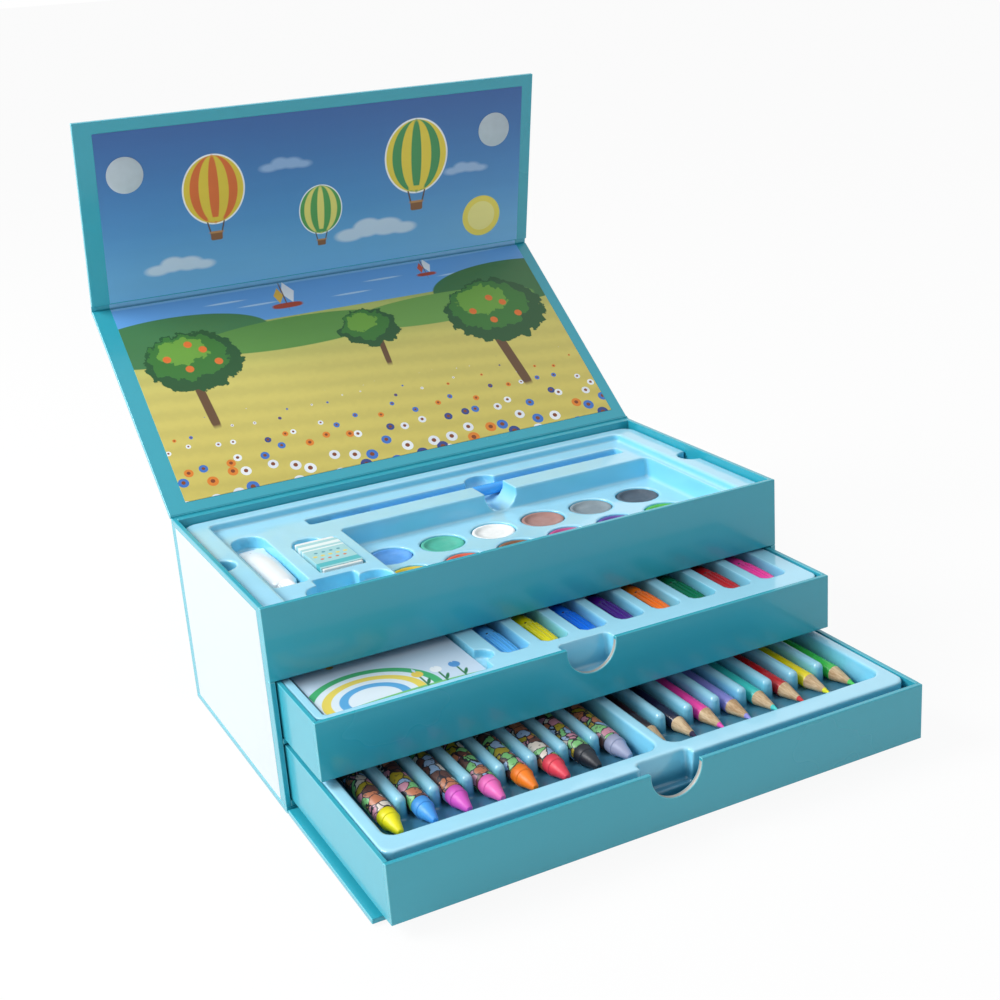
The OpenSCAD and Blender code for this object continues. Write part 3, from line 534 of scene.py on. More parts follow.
def lid_print(tree, where):
    split = add(tree, "ShaderNodeSeparateXYZ", {0: where})
    land = banded(tree, split.outputs[1], 0, 142, [(0, (214, 196, 96)), (0.55, (222, 208, 116)),
                                                   (0.74, (190, 196, 104)), (1, (150, 186, 110))])
    furrow_place = add(tree, "ShaderNodeMapping", {"Vector": where, "Rotation": (0, 0, 0.12)})
    furrows = add(tree, "ShaderNodeTexWave", {"Vector": furrow_place.outputs[0], "Scale": 26.0,
                                              "Distortion": 1.4, "Detail": 2.0, "Detail Scale": 9.0},
                  bands_direction="Y")
    lined = ranged(tree, furrows.outputs[1], 0.93, 1.03)
    field = brightened(tree, land, lined)
    meadow = add(tree, "ShaderNodeTexVoronoi", {"Vector": where, "Scale": 88.0, "Randomness": 0.8},
                 voronoi_dimensions="2D")
    near = ranged(tree, split.outputs[1], 0.0, 0.3, 62 * mm, 10 * mm)
    petals = maths(tree, "LESS_THAN", meadow.outputs["Distance"], near)
    eye_size = maths(tree, "MULTIPLY", near, 0.4)
    eyes = maths(tree, "LESS_THAN", meadow.outputs["Distance"], eye_size)
    pick = add(tree, "ShaderNodeSeparateColor", {0: meadow.outputs["Color"]})
    bloom = ramped(tree, pick.outputs[0], [
        (0, (246, 250, 252)), (0.25, (62, 120, 204)), (0.45, (236, 240, 246)), (0.65, (232, 134, 44)),
        (0.85, (52, 72, 140)), (1, (122, 190, 228))], "CONSTANT")
    flowered = laid_over(tree, petals, field, bloom)
    eyed = laid_over(tree, eyes, flowered, linear(134, 66, 26))
    far = ([((104, 168, 232), 0, 138, 300, 44, 0, 8), ((136, 192, 240), -30, 146, 300, 12, 0, 8)]
           + [((178, 214, 246), x, y, 22, 1.3)
              for x, y in ((-62, 133), (-44, 128), (12, 125), (34, 132), (80, 127))]
           + sailing_boat(-28, 124, 19, (236, 190, 70)) + sailing_boat(62, 130, 13, (212, 92, 60))
           + [((70, 128, 76), -98, 112, 110, 34), ((96, 152, 70), -30, 104, 120, 22),
              ((60, 116, 66), 110, 114, 100, 34), ((112, 164, 78), 62, 103, 120, 22)])
    scene_ground = print_over(tree, where, eyed, far)
    leaf_noise = add(tree, "ShaderNodeTexNoise", {"Vector": where, "Scale": 190.0, "Detail": 4.0})
    ragged = vectors(tree, "MULTIPLY_ADD", leaf_noise.outputs["Color"], (0.012, 0.012, 0), where)
    trunks = tree_trunk(-92, 92, 50, 3) + tree_trunk(12, 98, 34, -4) + tree_trunk(92, 88, 60, 5)
    crowns = tree_crown(-86, 102, 54) + tree_crown(18, 104, 36) + tree_crown(98, 100, 62)
    woods = print_over(tree, ragged, print_over(tree, where, scene_ground, trunks), crowns)
    fruit = [((232, 120, 48), x + dx, y + dy, 4.6, 4.6) for x, y in ((-92, 98), (92, 94))
             for dx, dy in ((-14, 2), (-4, -7), (7, 5), (13, -5), (0, 10))]
    return print_over(tree, where, woods, fruit)


stands_for(printed_sheet("flap_lining_print", "lid_flap_lining", flap_place, flap_print, -lining_reach),
           "lid_flap_lining")
stands_for(printed_sheet("lid_lining_print", "lid_lining", lid_place, lid_print, lining_reach),
           "lid_lining")

bm = merged_copy("lid_flap_crease")
low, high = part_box("lid_lining")
for x in (low.x, high.x):
    bmesh.ops.bisect_plane(bm, geom=bm.verts[:] + bm.edges[:] + bm.faces[:], plane_co=(x, 0, 0),
                           plane_no=(1, 0, 0))
inner_side = lid_place.to_3x3() @ Vector((0, 0, -1)) + flap_place.to_3x3() @ Vector((0, 0, -1))
for face in bm.faces:
    face.smooth = True
    facing_in = face.normal.dot(inner_side.normalized()) > 0.25
    face.material_index = int(facing_in and low.x < face.calc_center_median().x < high.x)
mesh = meshed(bm, "lid_fold_strip")
mesh.set_sharp_from_angle(angle=sharp_edge)
fold_print = laminated("fold_print", (132, 196, 238), 0.05, 0.34)
fold_strip = linked("lid_fold_strip", mesh, [turquoise_paper, fold_print])
stands_for(fold_strip, "lid_flap_crease")

# ---- Hook and loop dots ----
# Round self-adhesive dots: off-white tape with rows of tiny nylon hooks inside the flap, and its
# brushed loop half on the base flap, where the hooks meet it when the box is shut.
dot_r, tape_t = 10, 0.35
hook_pitch = 0.78 * mm
hook_rows = 27
hook_bend = 0.17 * mm
hook_wire = 0.06 * mm
loop_bend = 0.13 * mm


def growth_tree(name, takes):
    """An empty Geometry Nodes tree with named inputs, and its two end nodes."""
    tree = bpy.data.node_groups.new(name, "GeometryNodeTree")
    for socket, kind in takes:
        tree.interface.new_socket(socket, in_out="INPUT", socket_type=kind)
    tree.interface.new_socket("Geometry", in_out="OUTPUT", socket_type="NodeSocketGeometry")
    return tree, tree.nodes.new("NodeGroupInput").outputs, tree.nodes.new("NodeGroupOutput")


def end_growth(tree, geometry, given, end):
    real = add(tree, "GeometryNodeRealizeInstances", {0: geometry})
    finished = add(tree, "GeometryNodeSetMaterial", {"Geometry": real.outputs[0],
                                                     "Material": given["Finish"]})
    tree.links.new(finished.outputs[0], end.inputs[0])


def grown(name, tree, sizes, finish):
    """What a Geometry Nodes tree makes with these sizes, as a plain mesh."""
    piece = linked(name, bpy.data.meshes.new(name), [finish])
    growth = piece.modifiers.new("growth", "NODES")
    growth.node_group = tree
    for socket in tree.interface.items_tree:
        if socket.in_out == "INPUT":
            growth[socket.identifier] = finish if socket.name == "Finish" else sizes[socket.name]
    return settle(piece)


pile, given, end = growth_tree("hook_pile", [
    ("Radius", "NodeSocketFloat"), ("Pitch", "NodeSocketFloat"), ("Rows", "NodeSocketInt"),
    ("Bend", "NodeSocketFloat"), ("Wire", "NodeSocketFloat"), ("Turn", "NodeSocketFloat"),
    ("Finish", "NodeSocketMaterial")])
span = maths(pile, "MULTIPLY", given["Pitch"], given["Rows"])
rows = add(pile, "GeometryNodeMeshGrid",
           {"Size X": span, "Size Y": span, "Vertices X": given["Rows"], "Vertices Y": given["Rows"]})
spot = add(pile, "GeometryNodeInputPosition")
far = add(pile, "ShaderNodeVectorMath", {0: spot.outputs[0]}, operation="LENGTH")
past = maths(pile, "GREATER_THAN", far.outputs["Value"], given["Radius"])
kept = add(pile, "GeometryNodeDeleteGeometry", {"Geometry": rows.outputs[0], "Selection": past})
arc = add(pile, "GeometryNodeCurveArc", {
    "Resolution": 6, "Radius": given["Bend"], "Start Angle": math.radians(-20),
    "Sweep Angle": math.radians(220)})
stand = add(pile, "GeometryNodeTransform", {"Geometry": arc.outputs[0], "Rotation": (math.pi / 2, 0, 0)})
strand = add(pile, "GeometryNodeCurvePrimitiveCircle", {"Resolution": 4, "Radius": given["Wire"]})
hook = add(pile, "GeometryNodeCurveToMesh", {"Curve": stand.outputs[0], "Profile Curve": strand.outputs[0],
                                             "Fill Caps": True})
loose = add(pile, "FunctionNodeRandomValue", {}, data_type="FLOAT")
loose.inputs["Seed"].default_value = 7
pile.links.new(given["Turn"], loose.inputs[3])
angle = add(pile, "ShaderNodeCombineXYZ", {"Z": loose.outputs[1]})
field = add(pile, "GeometryNodeInstanceOnPoints", {"Points": kept.outputs[0], "Instance": hook.outputs[0],
                                                   "Rotation": angle.outputs[0]})
end_growth(pile, field.outputs[0], given, end)


def woven(name, ink):
    made, tree, shader, place = material(name)
    yarn = noise(tree, place, 1800.0, 3.0)
    soil = noise(tree, place, 160.0, 2.0)
    tone = ranged(tree, soil, 0.88, 1.06)
    shade = brightened(tree, linear(*ink), tone)
    dress(tree, shader, shade, 0.62, yarn, 0.05 * mm)
    return made


hook_tape = woven("hook_tape", (208, 220, 228))
loop_tape = woven("loop_tape", (230, 237, 240))


def turned(name, outline, finishes, around=48):
    """A piece turned about Z from its outline in millimetres.

    Each point is (radius, height), with the finish of the span that follows where it isn't 0.
    """
    bm = bmesh.new()
    rings = []
    for radius, height, *_ in outline:
        count = 1 if radius == 0 else around
        turns = [k * math.tau / around for k in range(count)]
        rings.append([bm.verts.new((radius * mm * math.cos(a), radius * mm * math.sin(a), height * mm))
                      for a in turns])
    for low, high, (_, _, *finish) in zip(rings, rings[1:], outline):
        for k in range(around):
            corners = [low[k % len(low)], low[(k + 1) % len(low)],
                       high[(k + 1) % len(high)], high[k % len(high)]]
            face = bm.faces.new(list(dict.fromkeys(corners)))
            face.material_index = finish[0] if finish else 0
            face.smooth = True
    bmesh.ops.recalc_face_normals(bm, faces=bm.faces)
    return linked(name, meshed(bm, name), finishes)


def joined(pieces, name):
    """Joins pieces that share a body into the first of them."""
    bpy.ops.object.select_all(action="DESELECT")
    for piece in pieces:
        piece.select_set(True)
    bpy.context.view_layer.objects.active = pieces[0]
    bpy.ops.object.join()
    pieces[0].name = name
    return pieces[0]


def tape_dot(name, x, y, z, place, bend, tape, random_turn):
    """One dot: its tape with a round edge, and its hooks or loops standing on it towards -Z."""
    soft = 0.1
    disc = turned(name, [(0, 0), (dot_r - soft, 0), (dot_r, soft), (dot_r, tape_t - soft),
                         (dot_r - soft, tape_t), (0, tape_t)], [tape], around=64)
    hooks = grown(name + "_pile", pile, {
        "Radius": (dot_r - 0.5) * mm, "Pitch": hook_pitch, "Rows": hook_rows, "Bend": bend,
        "Wire": hook_wire, "Turn": random_turn}, tape)
    hooks.data.transform(Matrix.Translation((0, 0, tape_t * mm + bend * 0.3)))
    dot = joined([disc, hooks], name)
    dot.data.transform(place @ Matrix.Translation((x, y, z)) @ Matrix.Rotation(math.pi, 4, "X"))
    return dot


hook_x = 110 * mm
hook_from_fold = 72 * mm
hook_base = -2.3 * mm
low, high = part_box("loop_dots")
loop_y = (low.y + high.y) / 2
for node, slot, y, z, place, bend, tape, random_turn in (
        ("hook_dots", "hook_tape", -hook_from_fold, hook_base, flap_place, hook_bend, hook_tape, 1.2),
        ("loop_dots", "loop_tape", loop_y, high.z, Matrix.Identity(4), loop_bend, loop_tape, math.tau)):
    dots = [tape_dot(f"{node}_{side}", side * hook_x, y, z, place, bend, tape, random_turn)
            for side in (-1, 1)]
    stands_for(joined(dots, node + "_tape"), node)

# ---- Thermoformed inserts ----
# One light blue glossy film per tier, drawn over a mould: flat rims, wells with round edges and walls that lean.
# Its upright walls are painted darker and bluer than its flats, which is painted shade, and its deep wells carry a
# painted shade, most in the bottom drawer, standing for the shade seen through film drawn thin.
film_t = 0.5 * mm
film_grain = 0.7 * mm
film_keep = 0.17
film_colour = (170, 228, 250)
# Colour of the film's upright walls: painted shade, darker and bluer than the flats.
film_wall_shade = (132, 218, 248)
# Painted shade in the deep wells: below 6 mm under a tier's top the film darkens towards this colour, fully 5 mm
# further down, by a strength for each tier that is highest in the bottom drawer.
film_deep_shade = (44, 124, 158)
shade_from, shade_over = 6 * mm, 5 * mm
DEEP_SHADE_BY_TIER = {"top_insert": 0.0, "middle_insert": 0.35, "bottom_insert": 0.85}

insert_film, tree, shader, place = material("insert_film")
ripple = noise(tree, place, 55.0, 2.0)
pits = noise(tree, place, 700.0, 2.0)
facing = add(tree, "ShaderNodeNewGeometry")
upward = add(tree, "ShaderNodeSeparateXYZ", {"Vector": facing.outputs["Normal"]})
# Faces that stand upright take the wall colour: painted shade by how a face is turned.
flat = ranged(tree, upward.outputs["Z"], 0, 1, 0.05, 0.8)
wall_shaded = laid_over(tree, flat, linear(*film_wall_shade), linear(*film_colour))
# Reads the painted shade stored on the film's points.
deep = add(tree, "ShaderNodeAttribute", {}, attribute_name="painted_deep_shade")
deep_shaded = laid_over(tree, deep.outputs["Fac"], wall_shaded, linear(*film_deep_shade))
shaded = brightened(tree, deep_shaded, ranged(tree, ripple, 0.95, 1.05))
wave = maths(tree, "MULTIPLY_ADD", pits, 0.06, ripple)
dress(tree, shader, shaded, ranged(tree, pits, 0.08, 0.2), wave, 0.35 * mm,
      IOR=1.5, Coat_Weight=0.35, Coat_Roughness=0.05)


def outer_block(node):
    """The insert's upper surface alone, closed below by a cone of faces, as a solid block."""
    bm = bmesh.new()
    bm.from_mesh(frame["nodes"][node].data)
    bmesh.ops.remove_doubles(bm, verts=bm.verts, dist=2e-6)
    low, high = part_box(node)
    foot = [f for f in bm.faces if all(v.co.z < low.z + 0.01 * mm for v in f.verts)]
    bmesh.ops.delete(bm, geom=foot, context="FACES")
    seen = {next(v for v in bm.verts if v.co.z > high.z - 0.01 * mm)}
    edge = list(seen)
    while edge:
        for link in edge.pop().link_edges:
            for vertex in link.verts:
                if vertex not in seen:
                    seen.add(vertex)
                    edge.append(vertex)
    bmesh.ops.delete(bm, geom=[v for v in bm.verts if v not in seen], context="VERTS")
    rim = [e for e in bm.edges if e.is_boundary]
    drawn = bmesh.ops.extrude_edge_only(bm, edges=rim)["geom"]
    tips = [v for v in drawn if isinstance(v, bmesh.types.BMVert)]
    middle = (low + high) / 2
    for vertex in tips:
        vertex.co.x, vertex.co.y = middle.x, middle.y
    bmesh.ops.remove_doubles(bm, verts=tips, dist=0.1 * mm)
    bmesh.ops.recalc_face_normals(bm, faces=bm.faces)
    return bm, low, high


def form_film(node):
    bm, low, high = outer_block(node)
    piece = linked(node + "_film", meshed(bm, node + "_film"), [insert_film])
    draw = piece.modifiers.new("draw", "REMESH")
    draw.mode = "VOXEL"
    draw.voxel_size = film_grain
    relax = piece.modifiers.new("relax", "SMOOTH")
    relax.factor = 0.5
    relax.iterations = 3
    settle(piece)
    thin = piece.modifiers.new("thin", "DECIMATE")
    thin.ratio = film_keep
    settle(piece)
    bm = bmesh.new()
    bm.from_mesh(piece.data)
    under = [f for f in bm.faces if f.normal.z < -0.5 and f.calc_center_median().z < low.z + 1.2 * mm]
    bmesh.ops.delete(bm, geom=under, context="FACES")
    bm.to_mesh(piece.data)
    bm.free()
    thick = piece.modifiers.new("film", "SOLIDIFY")
    thick.thickness = film_t
    thick.offset = -1
    for face in piece.data.polygons:
        face.use_smooth = True
    even = piece.modifiers.new("even_faces", "WEIGHTED_NORMAL")
    even.weight = 80
    settle(piece)
    for vertex in piece.data.vertices:
        for axis in range(3):
            vertex.co[axis] = min(max(vertex.co[axis], low[axis]), high[axis])
    # Stores painted shade on each point, by its depth under the tier's top and by the tier's strength.
    deep_shade_points = piece.data.attributes.new("painted_deep_shade", "FLOAT", "POINT")
    for vertex, value in zip(piece.data.vertices, deep_shade_points.data):
        share = (high.z - vertex.co.z - shade_from) / shade_over
        value.value = DEEP_SHADE_BY_TIER[node] * min(1.0, max(0.0, share))
    if not piece.data.materials:
        piece.data.materials.append(insert_film)
    stands_for(piece, node)


for node in ("top_insert", "middle_insert", "bottom_insert"):
    form_film(node)

# ---- Paint cakes ----
# Pressed watercolour cakes, each a disc with a shallow dish in its top and a rounded rim, chalky
# and paler in places, in two rows of six wells.
cake_r, cake_t, dish_r, dish_t = 11, 2.8, 9.2, 0.9
CAKES = [(90, 160, 232), (78, 184, 160), (246, 247, 245), (172, 130, 122), (136, 150, 158), (78, 92, 106),
         (232, 201, 58), (226, 89, 60), (139, 90, 60), (198, 79, 142), (106, 79, 168), (84, 196, 72)]
cake_outline = [
    (0, 0), (cake_r - 0.3, 0), (cake_r, 0.3), (cake_r, cake_t - 0.4), (cake_r - 0.15, cake_t - 0.12),
    (cake_r - 0.5, cake_t), (dish_r + 0.5, cake_t), (dish_r, cake_t - 0.1), (dish_r - 0.4, cake_t - dish_t),
    (dish_r * 0.55, cake_t - dish_t * 1.15), (0, cake_t - dish_t * 1.2)]


def chalky(name, ink):
    """Dry pressed colour with paler bloom in places."""
    made, tree, shader, place = material(name)
    powder = noise(tree, place, 420.0, 6.0)
    pale = ranged(tree, noise(tree, place, 90.0, 3.0), 0.0, 0.22, 0.45, 0.75)
    bloom = [c + (255 - c) * 0.45 for c in ink]
    dusty = laid_over(tree, pale, linear(*ink), linear(*bloom))
    shade = brightened(tree, dusty, ranged(tree, powder, 0.86, 1.1))
    dress(tree, shader, shade, 0.82, powder, 0.12 * mm)
    return made


low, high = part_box("paint_cakes")
cake_pitch = (high.x - low.x - 2 * cake_r * mm) / 5
row_pitch = high.y - low.y - 2 * cake_r * mm
cakes = []
for k, ink in enumerate(CAKES):
    row, column = divmod(k, 6)
    cake = turned(f"paint_cake_{k + 1}", cake_outline, [chalky(f"cake_colour_{k + 1}", ink)], around=72)
    cake.data.transform(Matrix.Translation((low.x + cake_r * mm + column * cake_pitch,
                                            high.y - cake_r * mm - row * row_pitch, low.z)))
    cakes.append(cake)
stands_for(joined(cakes, "paint_cakes_pressed"), "paint_cakes")

# ---- Brush ----
# A small round brush: a turned wooden handle with blue lacquer, a drawn metal ferrule with two
# rolled beads, and a tuft of fine bristles that comes to a point.
brush_low, brush_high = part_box("brush_handle")
tuft_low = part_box("brush_bristles")[0]
metal_low, metal_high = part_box("brush_ferrule")
brush_axis = Vector((0, (brush_low.y + brush_high.y) / 2, (brush_low.z + brush_high.z) / 2))
bead_h = 0.25
handle_r = (brush_high.y - brush_low.y) / 2 / mm
metal_r = (metal_high.y - metal_low.y) / 2 / mm - bead_h


def glossy(name, ink, roughness=0.16, drift=0.06, coat=0.5):
    """Hard glossy plastic or lacquer, with faint flow marks."""
    made, tree, shader, place = material(name)
    flow = noise(tree, place, 140.0, 2.0)
    shade = brightened(tree, linear(*ink), ranged(tree, flow, 1 - drift, 1 + drift))
    rough = ranged(tree, flow, roughness * 0.7, roughness * 1.4)
    dress(tree, shader, shade, rough, flow, 0.03 * mm, Coat_Weight=coat, Coat_Roughness=0.06)
    return made


def along_x(start):
    return Matrix.Translation((start, brush_axis.y, brush_axis.z)) @ Matrix.Rotation(math.pi / 2, 4, "Y")


blue_lacquer = glossy("blue_lacquer", (58, 170, 255), 0.14, 0.05, 0.4)
handle_l = (brush_high.x - metal_high.x) / mm
tip_l = 1.2
tenon_r, tenon_l = metal_r - 0.35, 6
steps = 26
belly = []
for k in range(steps + 1):
    share = k / steps
    swell = (handle_r - metal_r) * min(1.0, math.sin(math.pi * share ** 0.7) * 1.25)
    belly.append((metal_r + swell - 0.7 * share ** 3, share * (handle_l - tip_l)))
tip_r = belly[-1][0]
tip = [(tip_r * math.cos(a), handle_l - tip_l + tip_l * math.sin(a))
       for a in (math.pi / 2 * k / 5 for k in range(1, 5))]
handle = turned("brush_handle_lacquered", [(0, -tenon_l), (tenon_r, -tenon_l), (tenon_r, 0)] + belly + tip
                + [(0, handle_l)], [blue_lacquer])
handle.data.transform(along_x(metal_high.x))
stands_for(handle, "brush_handle")

ferrule_metal, tree, shader, place = material("ferrule_metal")
lines = noise(tree, mapped(tree, place, (30, 2400, 2400)), 1.0, 3.0)
shade = brightened(tree, linear(62, 142, 212), ranged(tree, lines, 0.85, 1.1))
dress(tree, shader, shade, ranged(tree, lines, 0.2, 0.42), lines, 0.02 * mm, Metallic=0.9)
ferrule_l = (metal_high.x - metal_low.x) / mm
bore_r, bore_deep = metal_r - 0.3, 0.6
outline = [(0, bore_deep), (bore_r, bore_deep), (bore_r, 0), (metal_r, 0)]
for start in (ferrule_l - 6, ferrule_l - 3):
    outline += [(metal_r + bead_h * math.sin(math.pi * k / 6), start + k / 6) for k in range(7)]
outline += [(metal_r, ferrule_l), (bore_r, ferrule_l), (bore_r, ferrule_l - bore_deep),
            (0, ferrule_l - bore_deep)]
ferrule = turned("brush_ferrule_drawn", outline, [ferrule_metal])
ferrule.data.transform(along_x(metal_low.x))
stands_for(ferrule, "brush_ferrule")

bristle_points = 9
golden_angle = 2.39996
tuft, given, end = growth_tree("bristle_tuft", [
    ("Count", "NodeSocketInt"), ("Length", "NodeSocketFloat"), ("Root Radius", "NodeSocketFloat"),
    ("Thickness", "NodeSocketFloat"), ("Finish", "NodeSocketMaterial")])
strand = add(tuft, "GeometryNodeCurvePrimitiveLine", {"End": (0, 0, 1)})
parts = add(tuft, "GeometryNodeResampleCurve", {"Curve": strand.outputs[0], "Count": bristle_points})
roots = add(tuft, "GeometryNodePoints", {"Count": given["Count"]})
order = add(tuft, "GeometryNodeInputIndex")
many = add(tuft, "GeometryNodeInstanceOnPoints", {"Points": roots.outputs[0], "Instance": parts.outputs[0]})
loose = add(tuft, "GeometryNodeRealizeInstances", {0: many.outputs[0]})
height = add(tuft, "ShaderNodeSeparateXYZ", {0: add(tuft, "GeometryNodeInputPosition").outputs[0]})
strand_no = maths(tuft, "FLOOR", maths(tuft, "DIVIDE", order.outputs[0], float(bristle_points)))
golden = maths(tuft, "MULTIPLY", strand_no, golden_angle)
spread = maths(tuft, "SQRT", maths(tuft, "DIVIDE", strand_no, given["Count"]))
swell = add(tuft, "ShaderNodeFloatCurve", {"Value": height.outputs[2]})
points = swell.mapping.curves[0].points
points[0].location, points[1].location = (0, 0.92), (1, 0.03)
for spot in ((0.25, 1.0), (0.6, 0.74), (0.85, 0.36)):
    points.new(*spot)
swell.mapping.update()
wide = maths(tuft, "MULTIPLY", spread, swell.outputs[0])
real = maths(tuft, "MULTIPLY", wide, given["Root Radius"])
x_at = maths(tuft, "MULTIPLY", real, maths(tuft, "COSINE", golden))
y_at = maths(tuft, "MULTIPLY", real, maths(tuft, "SINE", golden))
z_at = maths(tuft, "MULTIPLY", height.outputs[2], given["Length"])
spot = add(tuft, "ShaderNodeCombineXYZ", {0: x_at, 1: y_at, 2: z_at})
laid = add(tuft, "GeometryNodeSetPosition", {"Geometry": loose.outputs[0], "Position": spot.outputs[0]})
section = add(tuft, "GeometryNodeCurvePrimitiveCircle", {"Resolution": 4, "Radius": given["Thickness"]})
hairs = add(tuft, "GeometryNodeCurveToMesh", {"Curve": laid.outputs[0], "Profile Curve": section.outputs[0],
                                              "Fill Caps": True})
end_growth(tuft, hairs.outputs[0], given, end)

bristle_hair, tree, shader, place = material("bristle_hair")
tips = noise(tree, place, 1200.0, 2.0)
shade = brightened(tree, linear(62, 146, 204), ranged(tree, tips, 0.7, 1.2))
dress(tree, shader, shade, 0.5, tips, 0.02 * mm)
root_in = 0.5 * mm
bristles = grown("brush_bristles_tuft", tuft, {
    "Count": 320, "Length": metal_low.x - tuft_low.x + root_in, "Root Radius": (metal_r - 0.42) * mm,
    "Thickness": 0.07 * mm}, bristle_hair)
bristles.data.transform(Matrix.Translation((metal_low.x + root_in, brush_axis.y, brush_axis.z))
                        @ Matrix.Rotation(-math.pi / 2, 4, "Y"))
stands_for(bristles, "brush_bristles")

# ---- Glue tube ----
# A soft white squeeze tube, round at its cap and pressed flat to a crimped seam at its far end,
# with a ribbed screw cap at the front.
tube_low, tube_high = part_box("glue_tube")
tube_mid = (tube_low + tube_high) / 2
tube_w, tube_l, tube_t = tube_high - tube_low
cap_l = 10 * mm
flat_from, crimp_from = 0.55, 0.93
around, cap_ribs = 56, 28
tube_white = glossy("tube_white", (242, 246, 248), 0.3, 0.03, 0.2)
cap_white = glossy("tube_cap_white", (250, 251, 252), 0.22, 0.02, 0.3)


def squeezed(share, angle):
    """Place on the tube's wall: round at the cap's end, widening to a flat crimp."""
    flat = max(0.0, (share - flat_from) / (1 - flat_from)) ** 1.4
    half_w = tube_w / 2 * (0.9 + 0.1 * min(1.0, share * 1.8))
    half_t = tube_t / 2 * (0.92 + 0.08 * min(1.0, share * 4)) * (1 - flat) + 0.7 * mm * flat
    shoulder = math.sqrt(min(1.0, share * 14)) * 0.35 + 0.65 if share < 1 / 14 else 1.0
    return half_w * shoulder * math.cos(angle), half_t * shoulder * math.sin(angle)


def skinned(name, rings, finish, smooth):
    """A piece with faces between its rings of points and a flat face over each end."""
    bm = bmesh.new()
    rings = [[bm.verts.new(point) for point in ring] for ring in rings]
    for near, far in zip(rings, rings[1:]):
        for k in range(len(near)):
            after = (k + 1) % len(near)
            bm.faces.new((near[k], near[after], far[after], far[k])).smooth = smooth
    bm.faces.new(rings[0])
    bm.faces.new(rings[-1])
    bmesh.ops.recalc_face_normals(bm, faces=bm.faces)
    return linked(name, meshed(bm, name), [finish])


axis_z = tube_low.z + tube_t / 2
rings = []
for share in (0, 0.01, 0.025, 0.045, 0.0715, 0.12, 0.2, 0.3, 0.42, 0.55, 0.65, 0.74, 0.82, 0.88, 0.93,
              0.931, 0.96, 1):
    ring = []
    for k in range(around):
        x, z = squeezed(share, k * math.tau / around)
        if share > crimp_from:
            z = math.copysign(max(abs(z), 0.55 * mm), z) if abs(z) > 1e-6 else 0
        ring.append((tube_mid.x + x, tube_low.y + cap_l + share * (tube_l - cap_l), axis_z + z))
    rings.append(ring)
tube = skinned("glue_tube_body", rings, tube_white, True)
cap_r = tube_t / 2 - 0.4 * mm
rings = []
for height, grow in ((0, -0.7), (0.35, -0.25), (0.9, 0), (8.8, 0.15), (9.4, 0.0), (9.8, -0.5)):
    ring = []
    for k in range(cap_ribs * 4):
        rib = 0.16 * mm * math.cos(k * math.tau / 4) if 0.5 < height < 9 else 0
        radius = cap_r + grow * mm + rib
        angle = k * math.tau / (cap_ribs * 4)
        ring.append((tube_mid.x + radius * math.cos(angle), tube_low.y + height * mm,
                     axis_z + radius * math.sin(angle)))
    rings.append(ring)
tube_cap = skinned("glue_tube_cap", rings, cap_white, False)
stands_for(joined([tube, tube_cap], "glue_tube_body"), "glue_tube")

# ---- Eraser ----
# A white vinyl block in a printed card sleeve, open at both ends. Stripes
# and rows of dots are printed on the sleeve.
eraser_white, tree, shader, place = material("eraser_white")
crumb = noise(tree, place, 600.0, 5.0)
shade = brightened(tree, linear(240, 242, 240), ranged(tree, crumb, 0.93, 1.03))
dress(tree, shader, shade, 0.7, crumb, 0.05 * mm)


def softened_copy(name, node, width, finishes):
    return soften(linked(name, meshed(merged_copy(node), name), finishes), width)


def printed_card(name, paper_ink, shapes, roughness):
    """A card whose print is laid out in millimetres on the plane of X and Y."""
    made, tree, shader, place = material(name)
    flat_place = vectors(tree, "MULTIPLY", place, (1, 1, 0))
    inks = print_over(tree, flat_place, linear(*paper_ink), shapes)
    papered(tree, shader, place, inks, 0.05, roughness)
    return made


stands_for(softened_copy("eraser_block_vinyl", "eraser_block", 0.5 * mm, [eraser_white]),
           "eraser_block")
low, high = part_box("eraser_sleeve")
mid_x, mid_y, _ = (low + high) / 2 / mm
long = (high.y - low.y) / mm
stripes = [(ink, mid_x, mid_y + long * share, 30, width, 0, 8) for ink, share, width in (
    ((236, 246, 246), 0.36, 3.4), ((236, 246, 246), 0.22, 1.4), ((86, 188, 196), -0.38, 5.0))]
for ink, count, y, size in (((232, 214, 110), 5, -2, 2.2), ((70, 150, 170), 4, 2.4, 1.8),
                            ((214, 120, 90), 4, -6.4, 1.8)):
    stripes += [(ink, mid_x + (k - (count - 1) / 2) * 3.8, mid_y + y, size, size) for k in range(count)]
sleeve_card = printed_card("eraser_card", (168, 216, 220), stripes, 0.36)
stands_for(softened_copy("eraser_sleeve_card", "eraser_sleeve", 0.12 * mm, [sleeve_card]),
           "eraser_sleeve")

# ---- Card pad ----
# A pad of colouring cards under a printed cover, its cut edges showing as fine lines. The cover
# has a plain rainbow arch, tulips, hills, clouds, a sun and a few dots on a pale sky.
low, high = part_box("card_pad")
left, front = low.x / mm, low.y / mm
pad_sky, arch_gap, stem = (206, 224, 242), (226, 238, 246), (52, 120, 70)
marks = [(ink, left + 24, front + 4, size, size * 0.92) for ink, size in (
    ((74, 176, 112), 62), (arch_gap, 54), ((236, 214, 92), 47), (arch_gap, 39), ((96, 170, 222), 32),
    (arch_gap, 24))]
marks += [((120, 196, 120), left + 44, front - 4, 96, 15), ((64, 150, 92), left + 60, front - 6, 64, 15)]
for x, ink in ((48, (236, 206, 84)), (57, (240, 246, 250)), (66, (88, 150, 212))):
    marks += [(stem, left + x, front + 7, 0.9, 13, 0, 8), (stem, left + x + 1.6, front + 6, 1.6, 6, -28),
              (ink, left + x, front + 15, 5.2, 6.2), (pad_sky, left + x, front + 19.2, 1.6, 4.6, 0, 1)]
marks += cloud(left + 20, front + 84, 9, (250, 252, 254)) + cloud(left + 52, front + 66, 11, (250, 252, 254))
